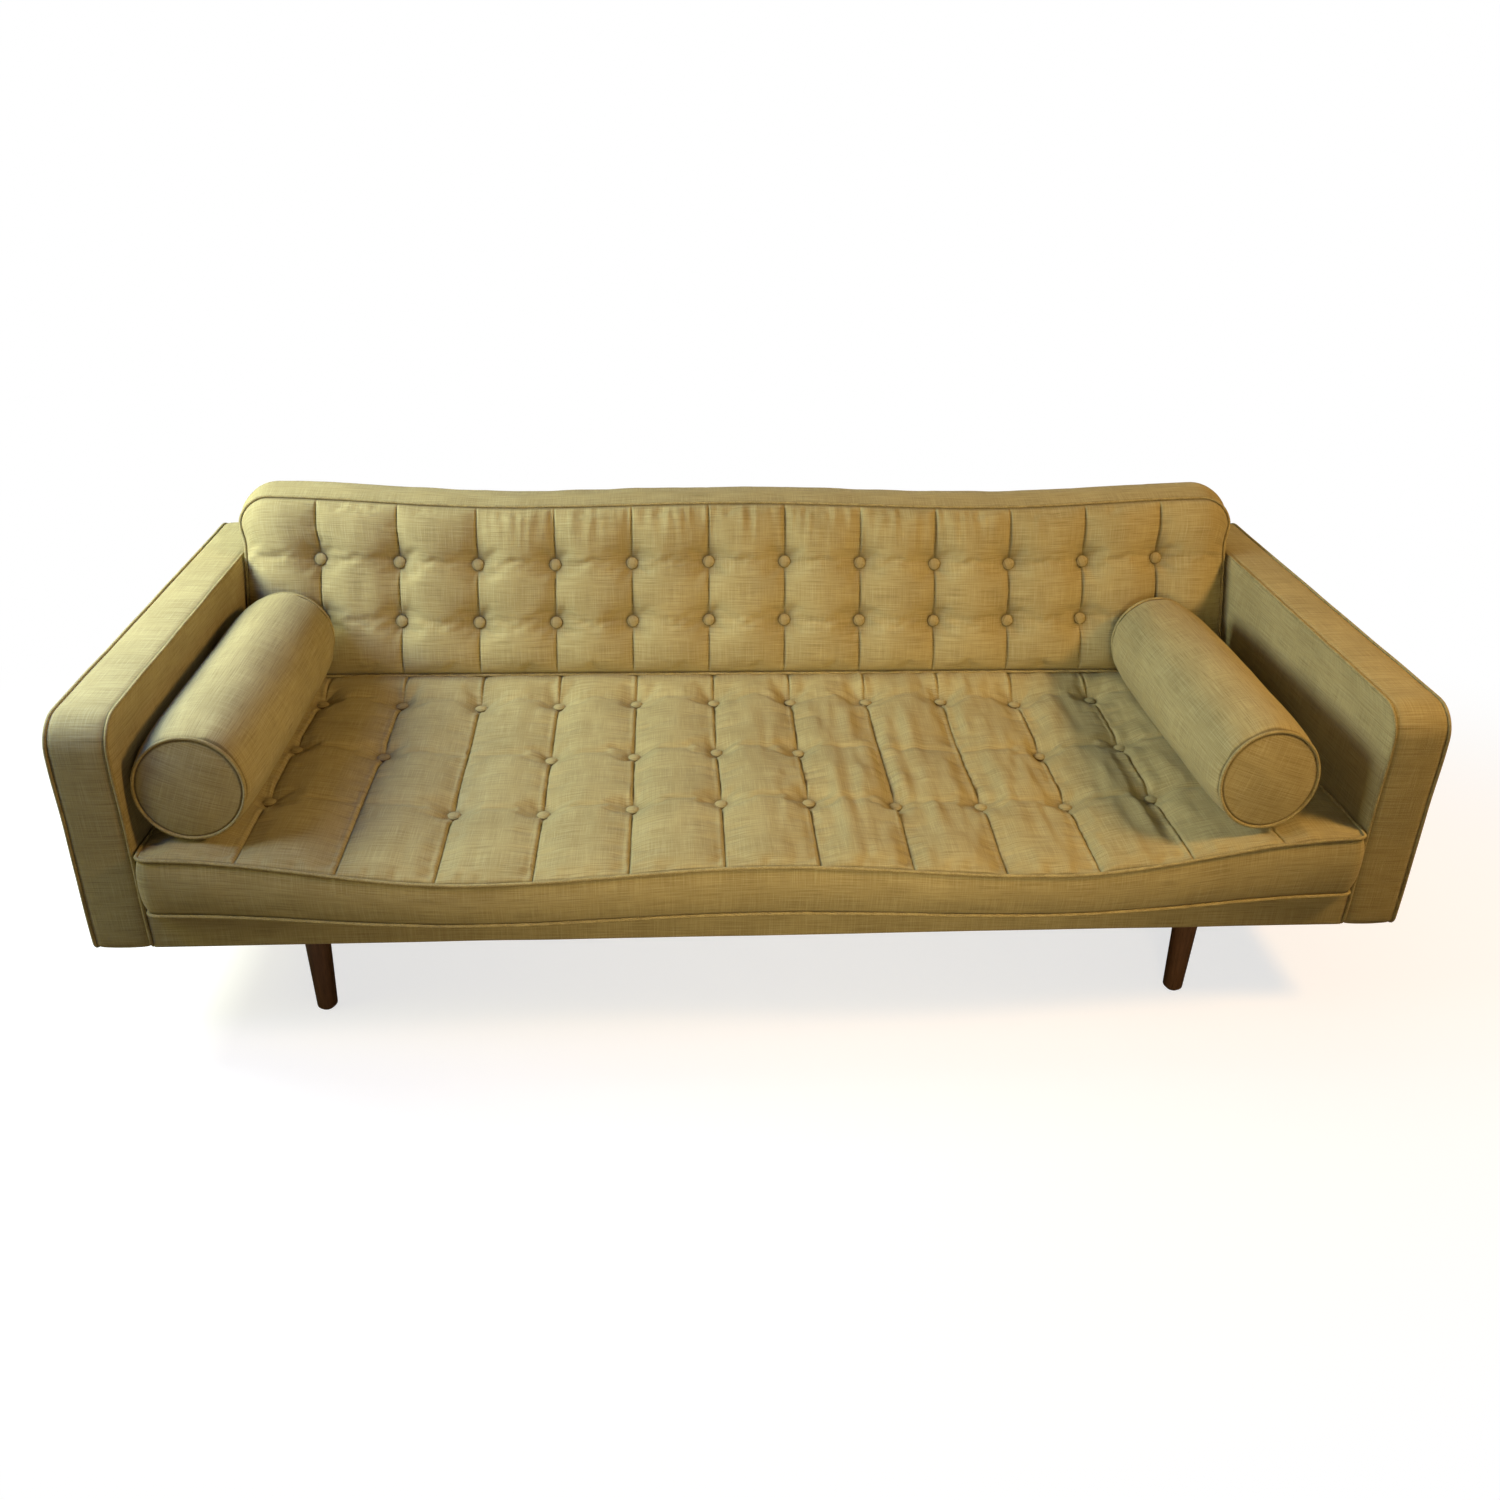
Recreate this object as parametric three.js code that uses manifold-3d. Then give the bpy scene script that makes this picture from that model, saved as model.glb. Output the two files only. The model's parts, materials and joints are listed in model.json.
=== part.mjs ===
// A long sofa with a channelled and buttoned seat cushion and back cushion, two loose
// bolsters, piped box arms and four turned wooden legs.
// Lengths are in millimetres. X runs to the right, Y to the back and Z up. The origin is
// on the floor under the middle of the sofa.
import * as THREE from "three";
import { mergeVertices } from "three/addons/utils/BufferGeometryUtils.js";
import Module from "manifold-3d";

const wasm = await Module();
wasm.setup();

// Overall sizes of the sofa
const sofaWidth = 2235; // over the piping of both arms
const armDepth = 945; // front face of an arm to the outside of the back
const armHeight = 624; // floor to the top of an arm
const baseHeight = 198; // floor to the underside of the base
const baseThickness = 78; // underside of the base to the top of the deck
const fit = 0.3; // gap left between pieces that touch
const cutOverrun = 1;

// Padding, linings and piping
const sidePadding = 12;
const endPadding = 22;
const railPadding = 12;
const backPadding = 12;
const deckPadding = 9.7;
const liningThickness = 1.7;
const webbingThickness = 1.7;
const armWeltRadius = 3.5;
const armEdgeBevel = 6;
const cushionWeltRadius = 4;
const weltSides = 6;

// Arms
const armWidth = 92;
const armTopRadius = 50;
const armFootRadius = 28;
const armPostDepth = 60;
const armTopRailThickness = 30;
const cornerSegments = 3;

// Base and back frame
const railThickness = 30;
const railEdgeRadius = 8;
const liningTurnUnder = 30;
const backTopThickness = 93.948; // from the outside of the back to its inside, at the height of the arms
const backRakeShare = 0.299; // how far the inside of the back leans for each unit of height
const backTopRailHeight = 40;
const backTopFrontRadius = 12;
const backTopRearRadius = 20;
const strapWidth = 50;
const strapCounts = { upright: 9, seatAcross: 5, backAcross: 3 };

// Legs
const legEndInset = 335.3; // from the outer face of an arm to the axis of a leg
const legInset = 82; // from the face of the arms to the axis of a leg
const legTopRadius = 23;
const legFootRadius = 17.7;
const legFootRound = 3;
const legBlockSize = 80;
const boltRadius = 4;
const boltTip = 1;
const boltInLeg = 35;
const boltInBlock = 45;
const glideRadius = 13;
const glideHeight = 4;
const glideBevel = 1;
const turnedSegments = 24;
const boltSegments = 10;
const holeSegments = 6;

// Panels and buttons that the seat and the back cushion share
const panels = 13;
const endPanelWidth = 146.4; // the first and the last panel; the others share the rest alike
const panelColumnShares = [0.25, 0.75];
const panelCrownPower = 0.6;
const cushionEndClearance = 1.5; // to the piping of the arm
const buttonRadius = 14.5;
const buttonRim = 3.5; // straight side of a button above the bottom of its tuft
const buttonDome = 3; // crown of a button above that side
const buttonRoot = 5; // how deep a button sits in its tuft
const buttonSegments = 6;
const tuftReach = 32; // how far a button draws in the cloth around it
const creaseReach = 24; // half width of the crease that runs from button to button
const creaseShare = 0.35; // part of a panel's crown that the crease takes away
const boxingDrawIn = 4;

// Seat cushion
const seatOverhang = 18; // its front edge stands this far in front of the arms at the corners
const seatBulge = 20; // and this much further in front of each sitter
const seatFrontHeight = 389; // floor to the upper front seam at the corners
const seatSag = 44; // how far that seam drops in front of each sitter
const seatLipSag = 16; // the same for the lower front seam
const seatSitterOffset = 480; // from the middle of the sofa to the middle of each sitter's place
const seatCentreShare = 0.55; // part of the sag that is left in the middle of the sofa
const seatRowShares = [0.2343, 0.4876, 0.7557]; // rows of buttons, from the front of the arms to the rear
const seatRollDepth = 27; // front of the arms to the end of the rolled front edge
const seatShelfShare = 0.8424; // the same for the start of the flat strip under the back cushion
const seatShelfHeight = 384; // floor to that strip
const seatHollow = 15; // drop of the cushion along the rear row of buttons
const seatPlateauRise = 6; // from that strip up to the seams between the panels where nobody sits
const seatLevelShares = [0, 0, 0.35, 1, 0]; // of the hollow: roll, rows, shelf
const seatSagShares = [1, 0.95, 0.82, 0.36, 0]; // of the sag: roll, rows, shelf
const seatPanelCrown = 14;
const seatTuft = 16;
const seatPanelShift = 8; // the channels are sewn this far to the right of the middle
const seatEdgeRoll = 70;
const seatCornerRadius = 25;
const seatUnderInset = 12;
const seatLostButtons = [[0, 1], [1, 2], [1, 7], [1, 8]]; // row and channel, counted from the front left

// Back cushion
const backFootThickness = 146.4; // from the lower front seam back to the rake, level
const backHeadThickness = 135.7; // the same from the upper front seam
const backHeadHeight = 735; // floor to the upper front seam at the corners
const backHeadSag = 20;
const backHeadFall = 13; // how much lower the upper rear seam lies
const backRowShares = [0.2947, 0.6233]; // rows of buttons, from the lower to the upper front seam
const backLowShares = [0.3]; // rows of the skin between the lower seam and the lower buttons
const backHighShares = [0.5, 0.82]; // rows of the skin between the upper buttons and the upper seam
const backSeamRise = 14;
const backPanelCrown = 11;
const backTuft = 12;
const backRowLifts = [10, 15]; // how much higher each row of buttons is where nobody leans
const backEdgeRoll = 60;
const backCornerRadius = 55;
const backFootRadius = 20;
const backBoxingShares = [0.25, 0.5, 0.75]; // places of the boxing's rings between the two pipings
const backCrown = 18; // how far the boxing swells above the arms
const backArmCrown = 5; // and between them
const backArmSwell = 9; // how far the piped edges spread above the arms
const backSwellHeight = 50; // height above the arms where the spread is complete
const backRearInset = 12;
const backSwellPower = 4; // how sharply the spread grows towards the ends

// Bolsters
const bolsterEndRadius = 87; // at the piping of its ends
const bolsterRadius = 98; // in the middle
const bolsterLength = 600; // between its piped ends
const bolsterSwell = 130; // length over which an end grows to the full radius
const bolsterSwellShares = [0.2, 0.55, 1];
const bolsterEndCrown = 7;
const bolsterEdgeBevel = 8;
const bolsterDomeShare = 0.6; // of the end's radius, where the end starts to fall away
const bolsterSegments = 32;
// armGap is the room beside the piping of the arm; turn and dip, in degrees, take the rear end to the
// left and down; skew and slant are how far the soft ends lean back from left to right and from low to high
const bolsterPlaces = {
  left: { frontDepth: 20, armGap: 0.5, turn: 0, dip: 0.6, skew: 0, slant: 0.1 },
  right: { frontDepth: 10, armGap: 80.8, turn: -1, dip: 1.6, skew: 0.11, slant: 0.08 },
};

// Places that several pieces share
const armWeltInset = armEdgeBevel / 2 - (armWeltRadius + fit) / Math.SQRT2;
const armWeltReach = armWeltRadius - armWeltInset;
const cushionWeltStand = cushionWeltRadius + fit;
const cushionWeltReach = cushionWeltStand + cushionWeltRadius;
const seatReach = seatOverhang + seatBulge + cushionWeltReach;
const armFrontY = (seatReach - armDepth - armWeltReach) / 2;
const rearY = armFrontY + armDepth;
const armOuterX = sofaWidth / 2 - armWeltReach;
const armInnerX = armOuterX - armWidth;
const baseHalfWidth = armInnerX - armWeltReach - fit;
const deckZ = baseHeight + baseThickness;
const underDeckZ = deckZ - deckPadding;
const webbingZ = underDeckZ - fit - webbingThickness;
const railTopZ = webbingZ - fit;
const railBottomZ = baseHeight + liningThickness + fit;
const railFrontY = armFrontY + railPadding + fit;
const railRearY = rearY - backPadding - fit;
const railFrontInnerY = railFrontY + railThickness + fit;
const railRearInnerY = railRearY - railThickness - fit;
const liningFrontY = railFrontInnerY;
const liningRearY = railRearInnerY;
const rakeStretch = Math.hypot(1, backRakeShare);
const insideBackY = (z) => rearY - backTopThickness - backRakeShare * (armHeight - z);
const clamp01 = (value) => Math.min(1, Math.max(0, value));
const easeInOut = (share) => (1 - Math.cos(Math.PI * clamp01(share))) / 2;
const roundRise = (share) => Math.sqrt(1 - (1 - clamp01(share)) ** 2);

// Finishes
const finish = (color, roughness, metalness) => () =>
  new THREE.MeshStandardMaterial({ color, roughness, metalness });
const linen = finish(0x9a8c5a, 0.95, 0);
const linenPiping = finish(0x877848, 0.95, 0);
const walnut = finish(0x4a2f20, 0.45, 0);
const beech = finish(0xc9a577, 0.7, 0);
const webbing = finish(0x8d7f66, 0.9, 0);
const lining = finish(0x1d1c1b, 0.95, 0);
const steel = finish(0xb5b7ba, 0.35, 1);
const nylon = finish(0x2b2826, 0.5, 0);

const sofa = new THREE.Group();

function addPiece(name, geometry, material, parent = sofa) {
  const mesh = new THREE.Mesh(geometry, material());
  mesh.name = name;
  parent.add(mesh);
  return mesh;
}

// Joining and cutting
function solidOf(geometry) {
  const bare = geometry.clone();
  bare.deleteAttribute("normal");
  bare.deleteAttribute("uv");
  const merged = mergeVertices(bare);
  return new wasm.Manifold(
    new wasm.Mesh({
      numProp: 3,
      vertProperties: merged.attributes.position.array,
      triVerts: new Uint32Array(merged.index.array),
    }),
  );
}

function geometryOf(solid) {
  const { vertProperties, triVerts } = solid.getMesh();
  const geometry = new THREE.BufferGeometry();
  geometry.setAttribute("position", new THREE.BufferAttribute(vertProperties, 3));
  geometry.setIndex(new THREE.BufferAttribute(triVerts, 1));
  geometry.computeVertexNormals();
  return geometry;
}

// Boards, profiles that run from left to right, and turned pieces
function board([x0, x1], [y0, y1], [z0, z1]) {
  const box = new THREE.BoxGeometry(x1 - x0, y1 - y0, z1 - z0);
  return box.translate((x0 + x1) / 2, (y0 + y1) / 2, (z0 + z1) / 2);
}

function acrossX(shape, [x0, x1], bevel = 0) {
  const geometry = new THREE.ExtrudeGeometry(shape, {
    depth: x1 - x0 - 2 * bevel,
    bevelEnabled: bevel > 0,
    bevelThickness: bevel,
    bevelSize: bevel,
    bevelOffset: -bevel,
    bevelSegments: 1,
    curveSegments: cornerSegments,
  });
  const turn = new THREE.Matrix4().makeBasis(
    new THREE.Vector3(0, 1, 0),
    new THREE.Vector3(0, 0, 1),
    new THREE.Vector3(1, 0, 0),
  );
  return geometry.applyMatrix4(turn).translate(x0 + bevel, 0, 0);
}

function outline(points) {
  return new THREE.Shape(points.map(([a, b]) => new THREE.Vector2(a, b)));
}

function turned(profile, segments) {
  const points = profile.map(([radius, height]) => new THREE.Vector2(radius, height));
  return new THREE.LatheGeometry(points, segments).rotateX(Math.PI / 2);
}

// Piping: a closed tube along a loop of stations, and a loop moved outwards in its own face
function corners(loop, axis) {
  return loop.map((point, k) => {
    const before = loop[(k + loop.length - 1) % loop.length];
    const after = loop[(k + 1) % loop.length];
    const into = point.clone().sub(before).normalize();
    const away = after.clone().sub(point).normalize();
    const sideBefore = into.clone().cross(axis).normalize();
    const sideAfter = away.clone().cross(axis).normalize();
    const side = sideBefore.clone().add(sideAfter).normalize();
    const along = into.add(away).normalize();
    return { point, side, up: side.clone().cross(along), miter: 1 / side.dot(sideBefore) };
  });
}

function movedOut(loop, axis, distance) {
  return corners(loop, axis).map(({ point, side, miter }) => {
    const reach = typeof distance === "function" ? distance(side) : distance;
    return point.clone().addScaledVector(side, reach * miter);
  });
}

function withoutStraightRuns(loop) {
  const straight = 1 - 1e-7; // cosine of the angle below which a station is left out
  return loop.filter((point, k) => {
    const into = point.clone().sub(loop[(k + loop.length - 1) % loop.length]).normalize();
    const away = loop[(k + 1) % loop.length].clone().sub(point).normalize();
    return into.dot(away) < straight;
  });
}

function meshOf(points, triangles) {
  const geometry = new THREE.BufferGeometry().setFromPoints(points);
  geometry.setIndex(triangles.flat());
  geometry.computeVertexNormals();
  return geometry;
}

function piping(loop, axis, radius) {
  const points = [];
  for (const { point, side, up, miter } of corners(loop, axis)) {
    for (let m = 0; m < weltSides; m += 1) {
      const angle = (2 * Math.PI * m) / weltSides;
      points.push(
        point
          .clone()
          .addScaledVector(side, radius * miter * Math.cos(angle))
          .addScaledVector(up, radius * Math.sin(angle)),
      );
    }
  }
  const at = (k, m) => (k % loop.length) * weltSides + (m % weltSides);
  const triangles = [];
  for (let k = 0; k < loop.length; k += 1) {
    for (let m = 0; m < weltSides; m += 1) {
      triangles.push([at(k, m), at(k + 1, m), at(k + 1, m + 1)]);
      triangles.push([at(k, m), at(k + 1, m + 1), at(k, m + 1)]);
    }
  }
  return meshOf(points, triangles);
}

// Arms: each is a box of timber under a padded cover with piped edges
function armProfile(inset) {
  const front = armFrontY + inset;
  const rear = rearY - inset;
  const low = baseHeight + inset;
  const high = armHeight - inset;
  const top = armTopRadius - inset;
  const foot = armFootRadius - inset;
  const quarter = Math.PI / 2;
  const shape = new THREE.Shape();
  shape.moveTo(front + foot, low);
  shape.lineTo(rear - foot, low);
  shape.absarc(rear - foot, low + foot, foot, -quarter, 0, false);
  shape.lineTo(rear, high - top);
  shape.absarc(rear - top, high - top, top, 0, quarter, false);
  shape.lineTo(front + top, high);
  shape.absarc(front + top, high - top, top, quarter, 2 * quarter, false);
  shape.lineTo(front, low + foot);
  shape.absarc(front + foot, low + foot, foot, 2 * quarter, 3 * quarter, false);
  return shape;
}

function armPiping(x) {
  const stations = armProfile(armWeltInset).getPoints(cornerSegments);
  const loop = mergedEnds(stations).map(({ x: y, y: z }) => new THREE.Vector3(x, y, z));
  return piping(loop, new THREE.Vector3(1, 0, 0), armWeltRadius);
}

function mergedEnds(stations) {
  return stations.filter((point, k) => {
    const before = stations[(k + stations.length - 1) % stations.length];
    return point.distanceTo(before) > fit;
  });
}

function addArm(side, sign) {
  const span = sign > 0 ? [armInnerX, armOuterX] : [-armOuterX, -armInnerX];
  const hollowX = [span[0] + sidePadding, span[1] - sidePadding];
  const hollowY = [armFrontY + endPadding, rearY - endPadding];
  const hollowTop = armHeight - endPadding;
  const hollow = board(hollowX, hollowY, [baseHeight - cutOverrun, hollowTop]);
  const cover = solidOf(acrossX(armProfile(0), span, armEdgeBevel)).subtract(solidOf(hollow));
  addPiece(`arm_cover_${side}`, geometryOf(cover), linen);

  const timberX = [hollowX[0] + fit, hollowX[1] - fit];
  const timberY = [hollowY[0] + fit, hollowY[1] - fit];
  const topRail = [hollowTop - fit - armTopRailThickness, hollowTop - fit];
  const bottomRail = [baseHeight, baseHeight + railTopZ - railBottomZ];
  const post = [bottomRail[1] + fit, topRail[0] - fit];
  const frontPostY = [timberY[0], timberY[0] + armPostDepth];
  const rearPostY = [timberY[1] - armPostDepth, timberY[1]];
  addPiece(`arm_top_rail_${side}`, board(timberX, timberY, topRail), beech);
  addPiece(`arm_bottom_rail_${side}`, board(timberX, timberY, bottomRail), beech);
  addPiece(`arm_front_post_${side}`, board(timberX, frontPostY, post), beech);
  addPiece(`arm_rear_post_${side}`, board(timberX, rearPostY, post), beech);

  const weltX = armOuterX - armWeltInset;
  addPiece(`arm_outer_welt_${side}`, armPiping(sign * weltX), linenPiping);
  addPiece(`arm_inner_welt_${side}`, armPiping(sign * (armInnerX + armWeltInset)), linenPiping);
}

// Base: a frame of rails with webbing, a padded deck and a lining below
function strapEdges(from, to, count) {
  const step = (to - from - strapWidth) / (count - 1);
  return Array.from({ length: count }, (_, k) => [from + k * step, from + k * step + strapWidth]).flat();
}

// Straps both ways, sewn where they cross: even cells of the grid are straps, the rest are gaps
function lattice(width, height, upright, across, thickness) {
  const xs = strapEdges(-width / 2, width / 2, upright);
  const ys = strapEdges(0, height, across);
  const points = [0, thickness].flatMap((z) => ys.flatMap((y) => xs.map((x) => new THREE.Vector3(x, y, z))));
  const low = (i, j) => j * xs.length + i;
  const high = (i, j) => low(i, j) + xs.length * ys.length;
  const inside = (i, j) => i >= 0 && j >= 0 && i < xs.length - 1 && j < ys.length - 1;
  const strap = (i, j) => inside(i, j) && (i % 2 === 0 || j % 2 === 0);
  const triangles = [];
  const quad = (a, b, c, d) => triangles.push([a, b, c], [a, c, d]);
  for (let j = 0; j < ys.length - 1; j += 1) {
    for (let i = 0; i < xs.length - 1; i += 1) {
      if (!strap(i, j)) continue;
      quad(high(i, j), high(i + 1, j), high(i + 1, j + 1), high(i, j + 1));
      quad(low(i, j), low(i, j + 1), low(i + 1, j + 1), low(i + 1, j));
      if (!strap(i, j - 1)) quad(low(i, j), low(i + 1, j), high(i + 1, j), high(i, j));
      if (!strap(i + 1, j)) quad(low(i + 1, j), low(i + 1, j + 1), high(i + 1, j + 1), high(i + 1, j));
      if (!strap(i, j + 1)) quad(low(i + 1, j + 1), low(i, j + 1), high(i, j + 1), high(i + 1, j + 1));
      if (!strap(i - 1, j)) quad(low(i, j + 1), low(i, j), high(i, j), high(i, j + 1));
    }
  }
  return meshOf(points, triangles);
}

const legX = armOuterX - legEndInset;
const legPlaces = [
  { name: "front_left", x: -legX, y: armFrontY + legInset, inward: 1 },
  { name: "front_right", x: legX, y: armFrontY + legInset, inward: 1 },
  { name: "rear_left", x: -legX, y: rearY - legInset, inward: -1 },
  { name: "rear_right", x: legX, y: rearY - legInset, inward: -1 },
];

function withRoundHole(shape, x, y, radius) {
  const hole = new THREE.Path();
  hole.absarc(x, y, radius, 0, 2 * Math.PI, true);
  shape.holes.push(hole);
  return shape;
}

function addBase() {
  const width = [-baseHalfWidth, baseHalfWidth];
  const railZ = [railBottomZ, railTopZ];
  const betweenRails = [railFrontInnerY, railRearInnerY];
  addPiece("front_rail", board(width, [railFrontY, railFrontY + railThickness], railZ), beech);
  addPiece("back_rail", board(width, [railRearY - railThickness, railRearY], railZ), beech);

  // The end rails seat flat on the arms, above the piping of the arms' lower edge
  const endRailZ = [baseHeight + armWeltInset + armWeltRadius + fit, railTopZ];
  const endRailX = [armInnerX - fit - railThickness, armInnerX - fit];
  const mirrored = ([low, high]) => [-high, -low];
  addPiece("end_rail_left", board(mirrored(endRailX), betweenRails, endRailZ), beech);
  addPiece("end_rail_right", board(endRailX, betweenRails, endRailZ), beech);

  // Stretchers stand against the outer sides of the leg blocks, and one in the middle
  const stretcherStart = legX + legBlockSize / 2 + fit;
  const stretcherX = [stretcherStart, stretcherStart + railThickness];
  const middleX = [-railThickness / 2, railThickness / 2];
  addPiece("stretcher_left", board(mirrored(stretcherX), betweenRails, railZ), beech);
  addPiece("stretcher_right", board(stretcherX, betweenRails, railZ), beech);
  addPiece("stretcher_middle", board(middleX, betweenRails, railZ), beech);

  const latticeDepth = railRearY - railFrontY;
  const { upright, seatAcross } = strapCounts;
  const net = lattice(2 * baseHalfWidth, latticeDepth, upright, seatAcross, webbingThickness);
  addPiece("seat_webbing", net.translate(0, railFrontY, webbingZ), webbing);

  const deckFrontY = railFrontY + railThickness + fit;
  const deckRearY = insideBackY(underDeckZ) - fit;
  addPiece("seat_deck", board(width, [deckFrontY + fit, deckRearY], [underDeckZ, deckZ]), linen);

  // The rail cover is one profile: turned under the rail, up its padded face and over it
  const straight = Math.PI;
  const cover = new THREE.Shape();
  cover.moveTo(armFrontY + railEdgeRadius, baseHeight);
  cover.lineTo(liningFrontY, baseHeight);
  cover.lineTo(liningFrontY, baseHeight + liningThickness);
  cover.lineTo(armFrontY + railPadding, baseHeight + liningThickness);
  cover.lineTo(armFrontY + railPadding, underDeckZ);
  cover.lineTo(deckFrontY, underDeckZ);
  cover.lineTo(deckFrontY, deckZ);
  cover.lineTo(armFrontY + railEdgeRadius, deckZ);
  cover.absarc(
    armFrontY + railEdgeRadius,
    deckZ - railEdgeRadius,
    railEdgeRadius,
    straight / 2,
    straight,
    false,
  );
  cover.lineTo(armFrontY, baseHeight + railEdgeRadius);
  cover.absarc(
    armFrontY + railEdgeRadius,
    baseHeight + railEdgeRadius,
    railEdgeRadius,
    straight,
    (3 * straight) / 2,
    false,
  );
  addPiece("front_rail_cover", acrossX(cover, width), linen);

  // The lining is holed where the leg bolts pass through it
  const [x0, x1] = width;
  const [y0, y1] = [liningFrontY + fit, liningRearY - fit];
  const sheet = outline([[x0, y0], [x1, y0], [x1, y1], [x0, y1]]);
  for (const { x, y } of legPlaces) withRoundHole(sheet, x, y, boltRadius + fit);
  const flat = { depth: liningThickness, bevelEnabled: false, curveSegments: holeSegments };
  addPiece("dust_cover", new THREE.ExtrudeGeometry(sheet, flat).translate(0, 0, baseHeight), lining);
}

// Back: raked posts and a top rail with webbing, under a padded cover
function addBack() {
  const wallBackY = (z) => insideBackY(z) + backPadding;
  const webbingBackY = (z) => wallBackY(z) + fit + webbingThickness * rakeStretch;
  const timberFrontY = (z) => webbingBackY(z) + fit;
  const topZ = armHeight - backPadding;
  const topRail = [topZ - fit - backTopRailHeight, topZ - fit];
  const raked = ([low, high]) =>
    outline([
      [timberFrontY(low), low],
      [railRearY, low],
      [railRearY, high],
      [timberFrontY(high), high],
    ]);
  addPiece("back_top_rail", acrossX(raked(topRail), [-baseHalfWidth, baseHalfWidth]), beech);
  const postSpan = [underDeckZ, topRail[0] - fit];
  const places = {
    left: [-baseHalfWidth, railThickness - baseHalfWidth],
    middle: [-railThickness / 2, railThickness / 2],
    right: [baseHalfWidth - railThickness, baseHalfWidth],
  };
  for (const [side, span] of Object.entries(places)) {
    addPiece(`back_post_${side}`, acrossX(raked(postSpan), span), beech);
  }

  const lean = Math.atan(backRakeShare);
  const slope = (topRail[1] - underDeckZ - webbingThickness * Math.sin(lean)) * rakeStretch;
  const { upright, backAcross } = strapCounts;
  const net = lattice(2 * baseHalfWidth, slope, upright, backAcross, webbingThickness);
  const stand = new THREE.Matrix4().makeBasis(
    new THREE.Vector3(1, 0, 0),
    new THREE.Vector3(0, Math.sin(lean), Math.cos(lean)),
    new THREE.Vector3(0, -Math.cos(lean), Math.sin(lean)),
  );
  net.applyMatrix4(stand).translate(0, webbingBackY(underDeckZ), underDeckZ);
  addPiece("back_webbing", net, webbing);

  const cover = new THREE.Shape();
  cover.moveTo(insideBackY(underDeckZ), underDeckZ);
  cover.lineTo(wallBackY(underDeckZ), underDeckZ);
  cover.lineTo(wallBackY(topZ), topZ);
  cover.lineTo(rearY - backPadding, topZ);
  cover.lineTo(rearY - backPadding, baseHeight + liningThickness);
  cover.lineTo(liningRearY, baseHeight + liningThickness);
  cover.lineTo(liningRearY, baseHeight);
  cover.lineTo(rearY, baseHeight);
  cover.lineTo(rearY, armHeight - backTopRearRadius);
  cover.absarc(
    rearY - backTopRearRadius,
    armHeight - backTopRearRadius,
    backTopRearRadius,
    0,
    Math.PI / 2,
    false,
  );
  cover.lineTo(insideBackY(armHeight) + backTopFrontRadius, armHeight);
  const rollStart = armHeight - backTopFrontRadius;
  cover.quadraticCurveTo(insideBackY(armHeight), armHeight, insideBackY(rollStart), rollStart);
  addPiece("back_cover", acrossX(cover, [-baseHalfWidth, baseHalfWidth]), linen);
}

// Legs: turned and tapered, each on a hanger bolt in a block behind the rail
function addLeg({ name, x, y, inward }) {
  const top = baseHeight - fit;
  const foot = glideHeight + fit;
  const holeRadius = boltRadius + fit;
  const holeEnd = top - boltInLeg - fit;
  const leg = turned(
    [
      [0, foot],
      [legFootRadius - legFootRound, foot],
      [legFootRadius, foot + legFootRound],
      [legTopRadius, top],
      [holeRadius, top],
      [holeRadius, holeEnd],
      [0, holeEnd],
    ],
    turnedSegments,
  );
  const boltFoot = top - boltInLeg;
  const boltHead = top + boltInBlock;
  const bolt = turned(
    [
      [0, boltFoot],
      [boltRadius - boltTip, boltFoot],
      [boltRadius, boltFoot + boltTip],
      [boltRadius, boltHead - boltTip],
      [boltRadius - boltTip, boltHead],
      [0, boltHead],
    ],
    boltSegments,
  );
  const glide = turned(
    [
      [0, 0],
      [glideRadius - glideBevel, 0],
      [glideRadius, glideBevel],
      [glideRadius, glideHeight],
      [0, glideHeight],
    ],
    turnedSegments,
  );
  const place = new THREE.Group();
  place.position.set(x, y, 0);
  addPiece(`leg_${name}`, leg, walnut, place);
  addPiece(`leg_bolt_${name}`, bolt, steel, place);
  addPiece(`leg_glide_${name}`, glide, nylon, place);
  sofa.add(place);

  // The block fills the corner between the rail and the stretcher, around the bolt
  const nearY = inward > 0 ? railFrontInnerY : railRearInnerY - legBlockSize;
  const halfBlock = legBlockSize / 2;
  const block = outline([
    [x - halfBlock, nearY],
    [x + halfBlock, nearY],
    [x + halfBlock, nearY + legBlockSize],
    [x - halfBlock, nearY + legBlockSize],
  ]);
  const solid = new THREE.ExtrudeGeometry(withRoundHole(block, x, y, holeRadius), {
    depth: railTopZ - railBottomZ,
    bevelEnabled: false,
    curveSegments: holeSegments,
  });
  addPiece(`leg_block_${name}`, solid.translate(0, 0, railBottomZ), beech);
}

// Cushions: a skin of panels over a boxed body, closed by a plain face
const cushionHalf = armInnerX - armWeltReach - cushionEndClearance - cushionWeltReach;
const panelPitch = (2 * (cushionHalf - endPanelWidth)) / (panels - 2);

function seamPlaces(shift) {
  const seams = panels - 1;
  return Array.from({ length: seams }, (_, k) => (k - (seams - 1) / 2) * panelPitch + shift);
}

function skinColumns(shift, cornerRadius) {
  const edges = [-cushionHalf, ...seamPlaces(shift), cushionHalf];
  const inside = edges.slice(1).flatMap((edge, k) => {
    const start = edges[k];
    return panelColumnShares.map((share) => start + share * (edge - start));
  });
  const bends = [0, Math.PI / 6, Math.PI / 3].map(
    (angle) => cushionHalf - cornerRadius * (1 - Math.sin(angle)),
  );
  const columns = [...edges, ...inside, ...bends, ...bends.map((x) => -x)];
  return columns.sort((a, b) => a - b);
}

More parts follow.
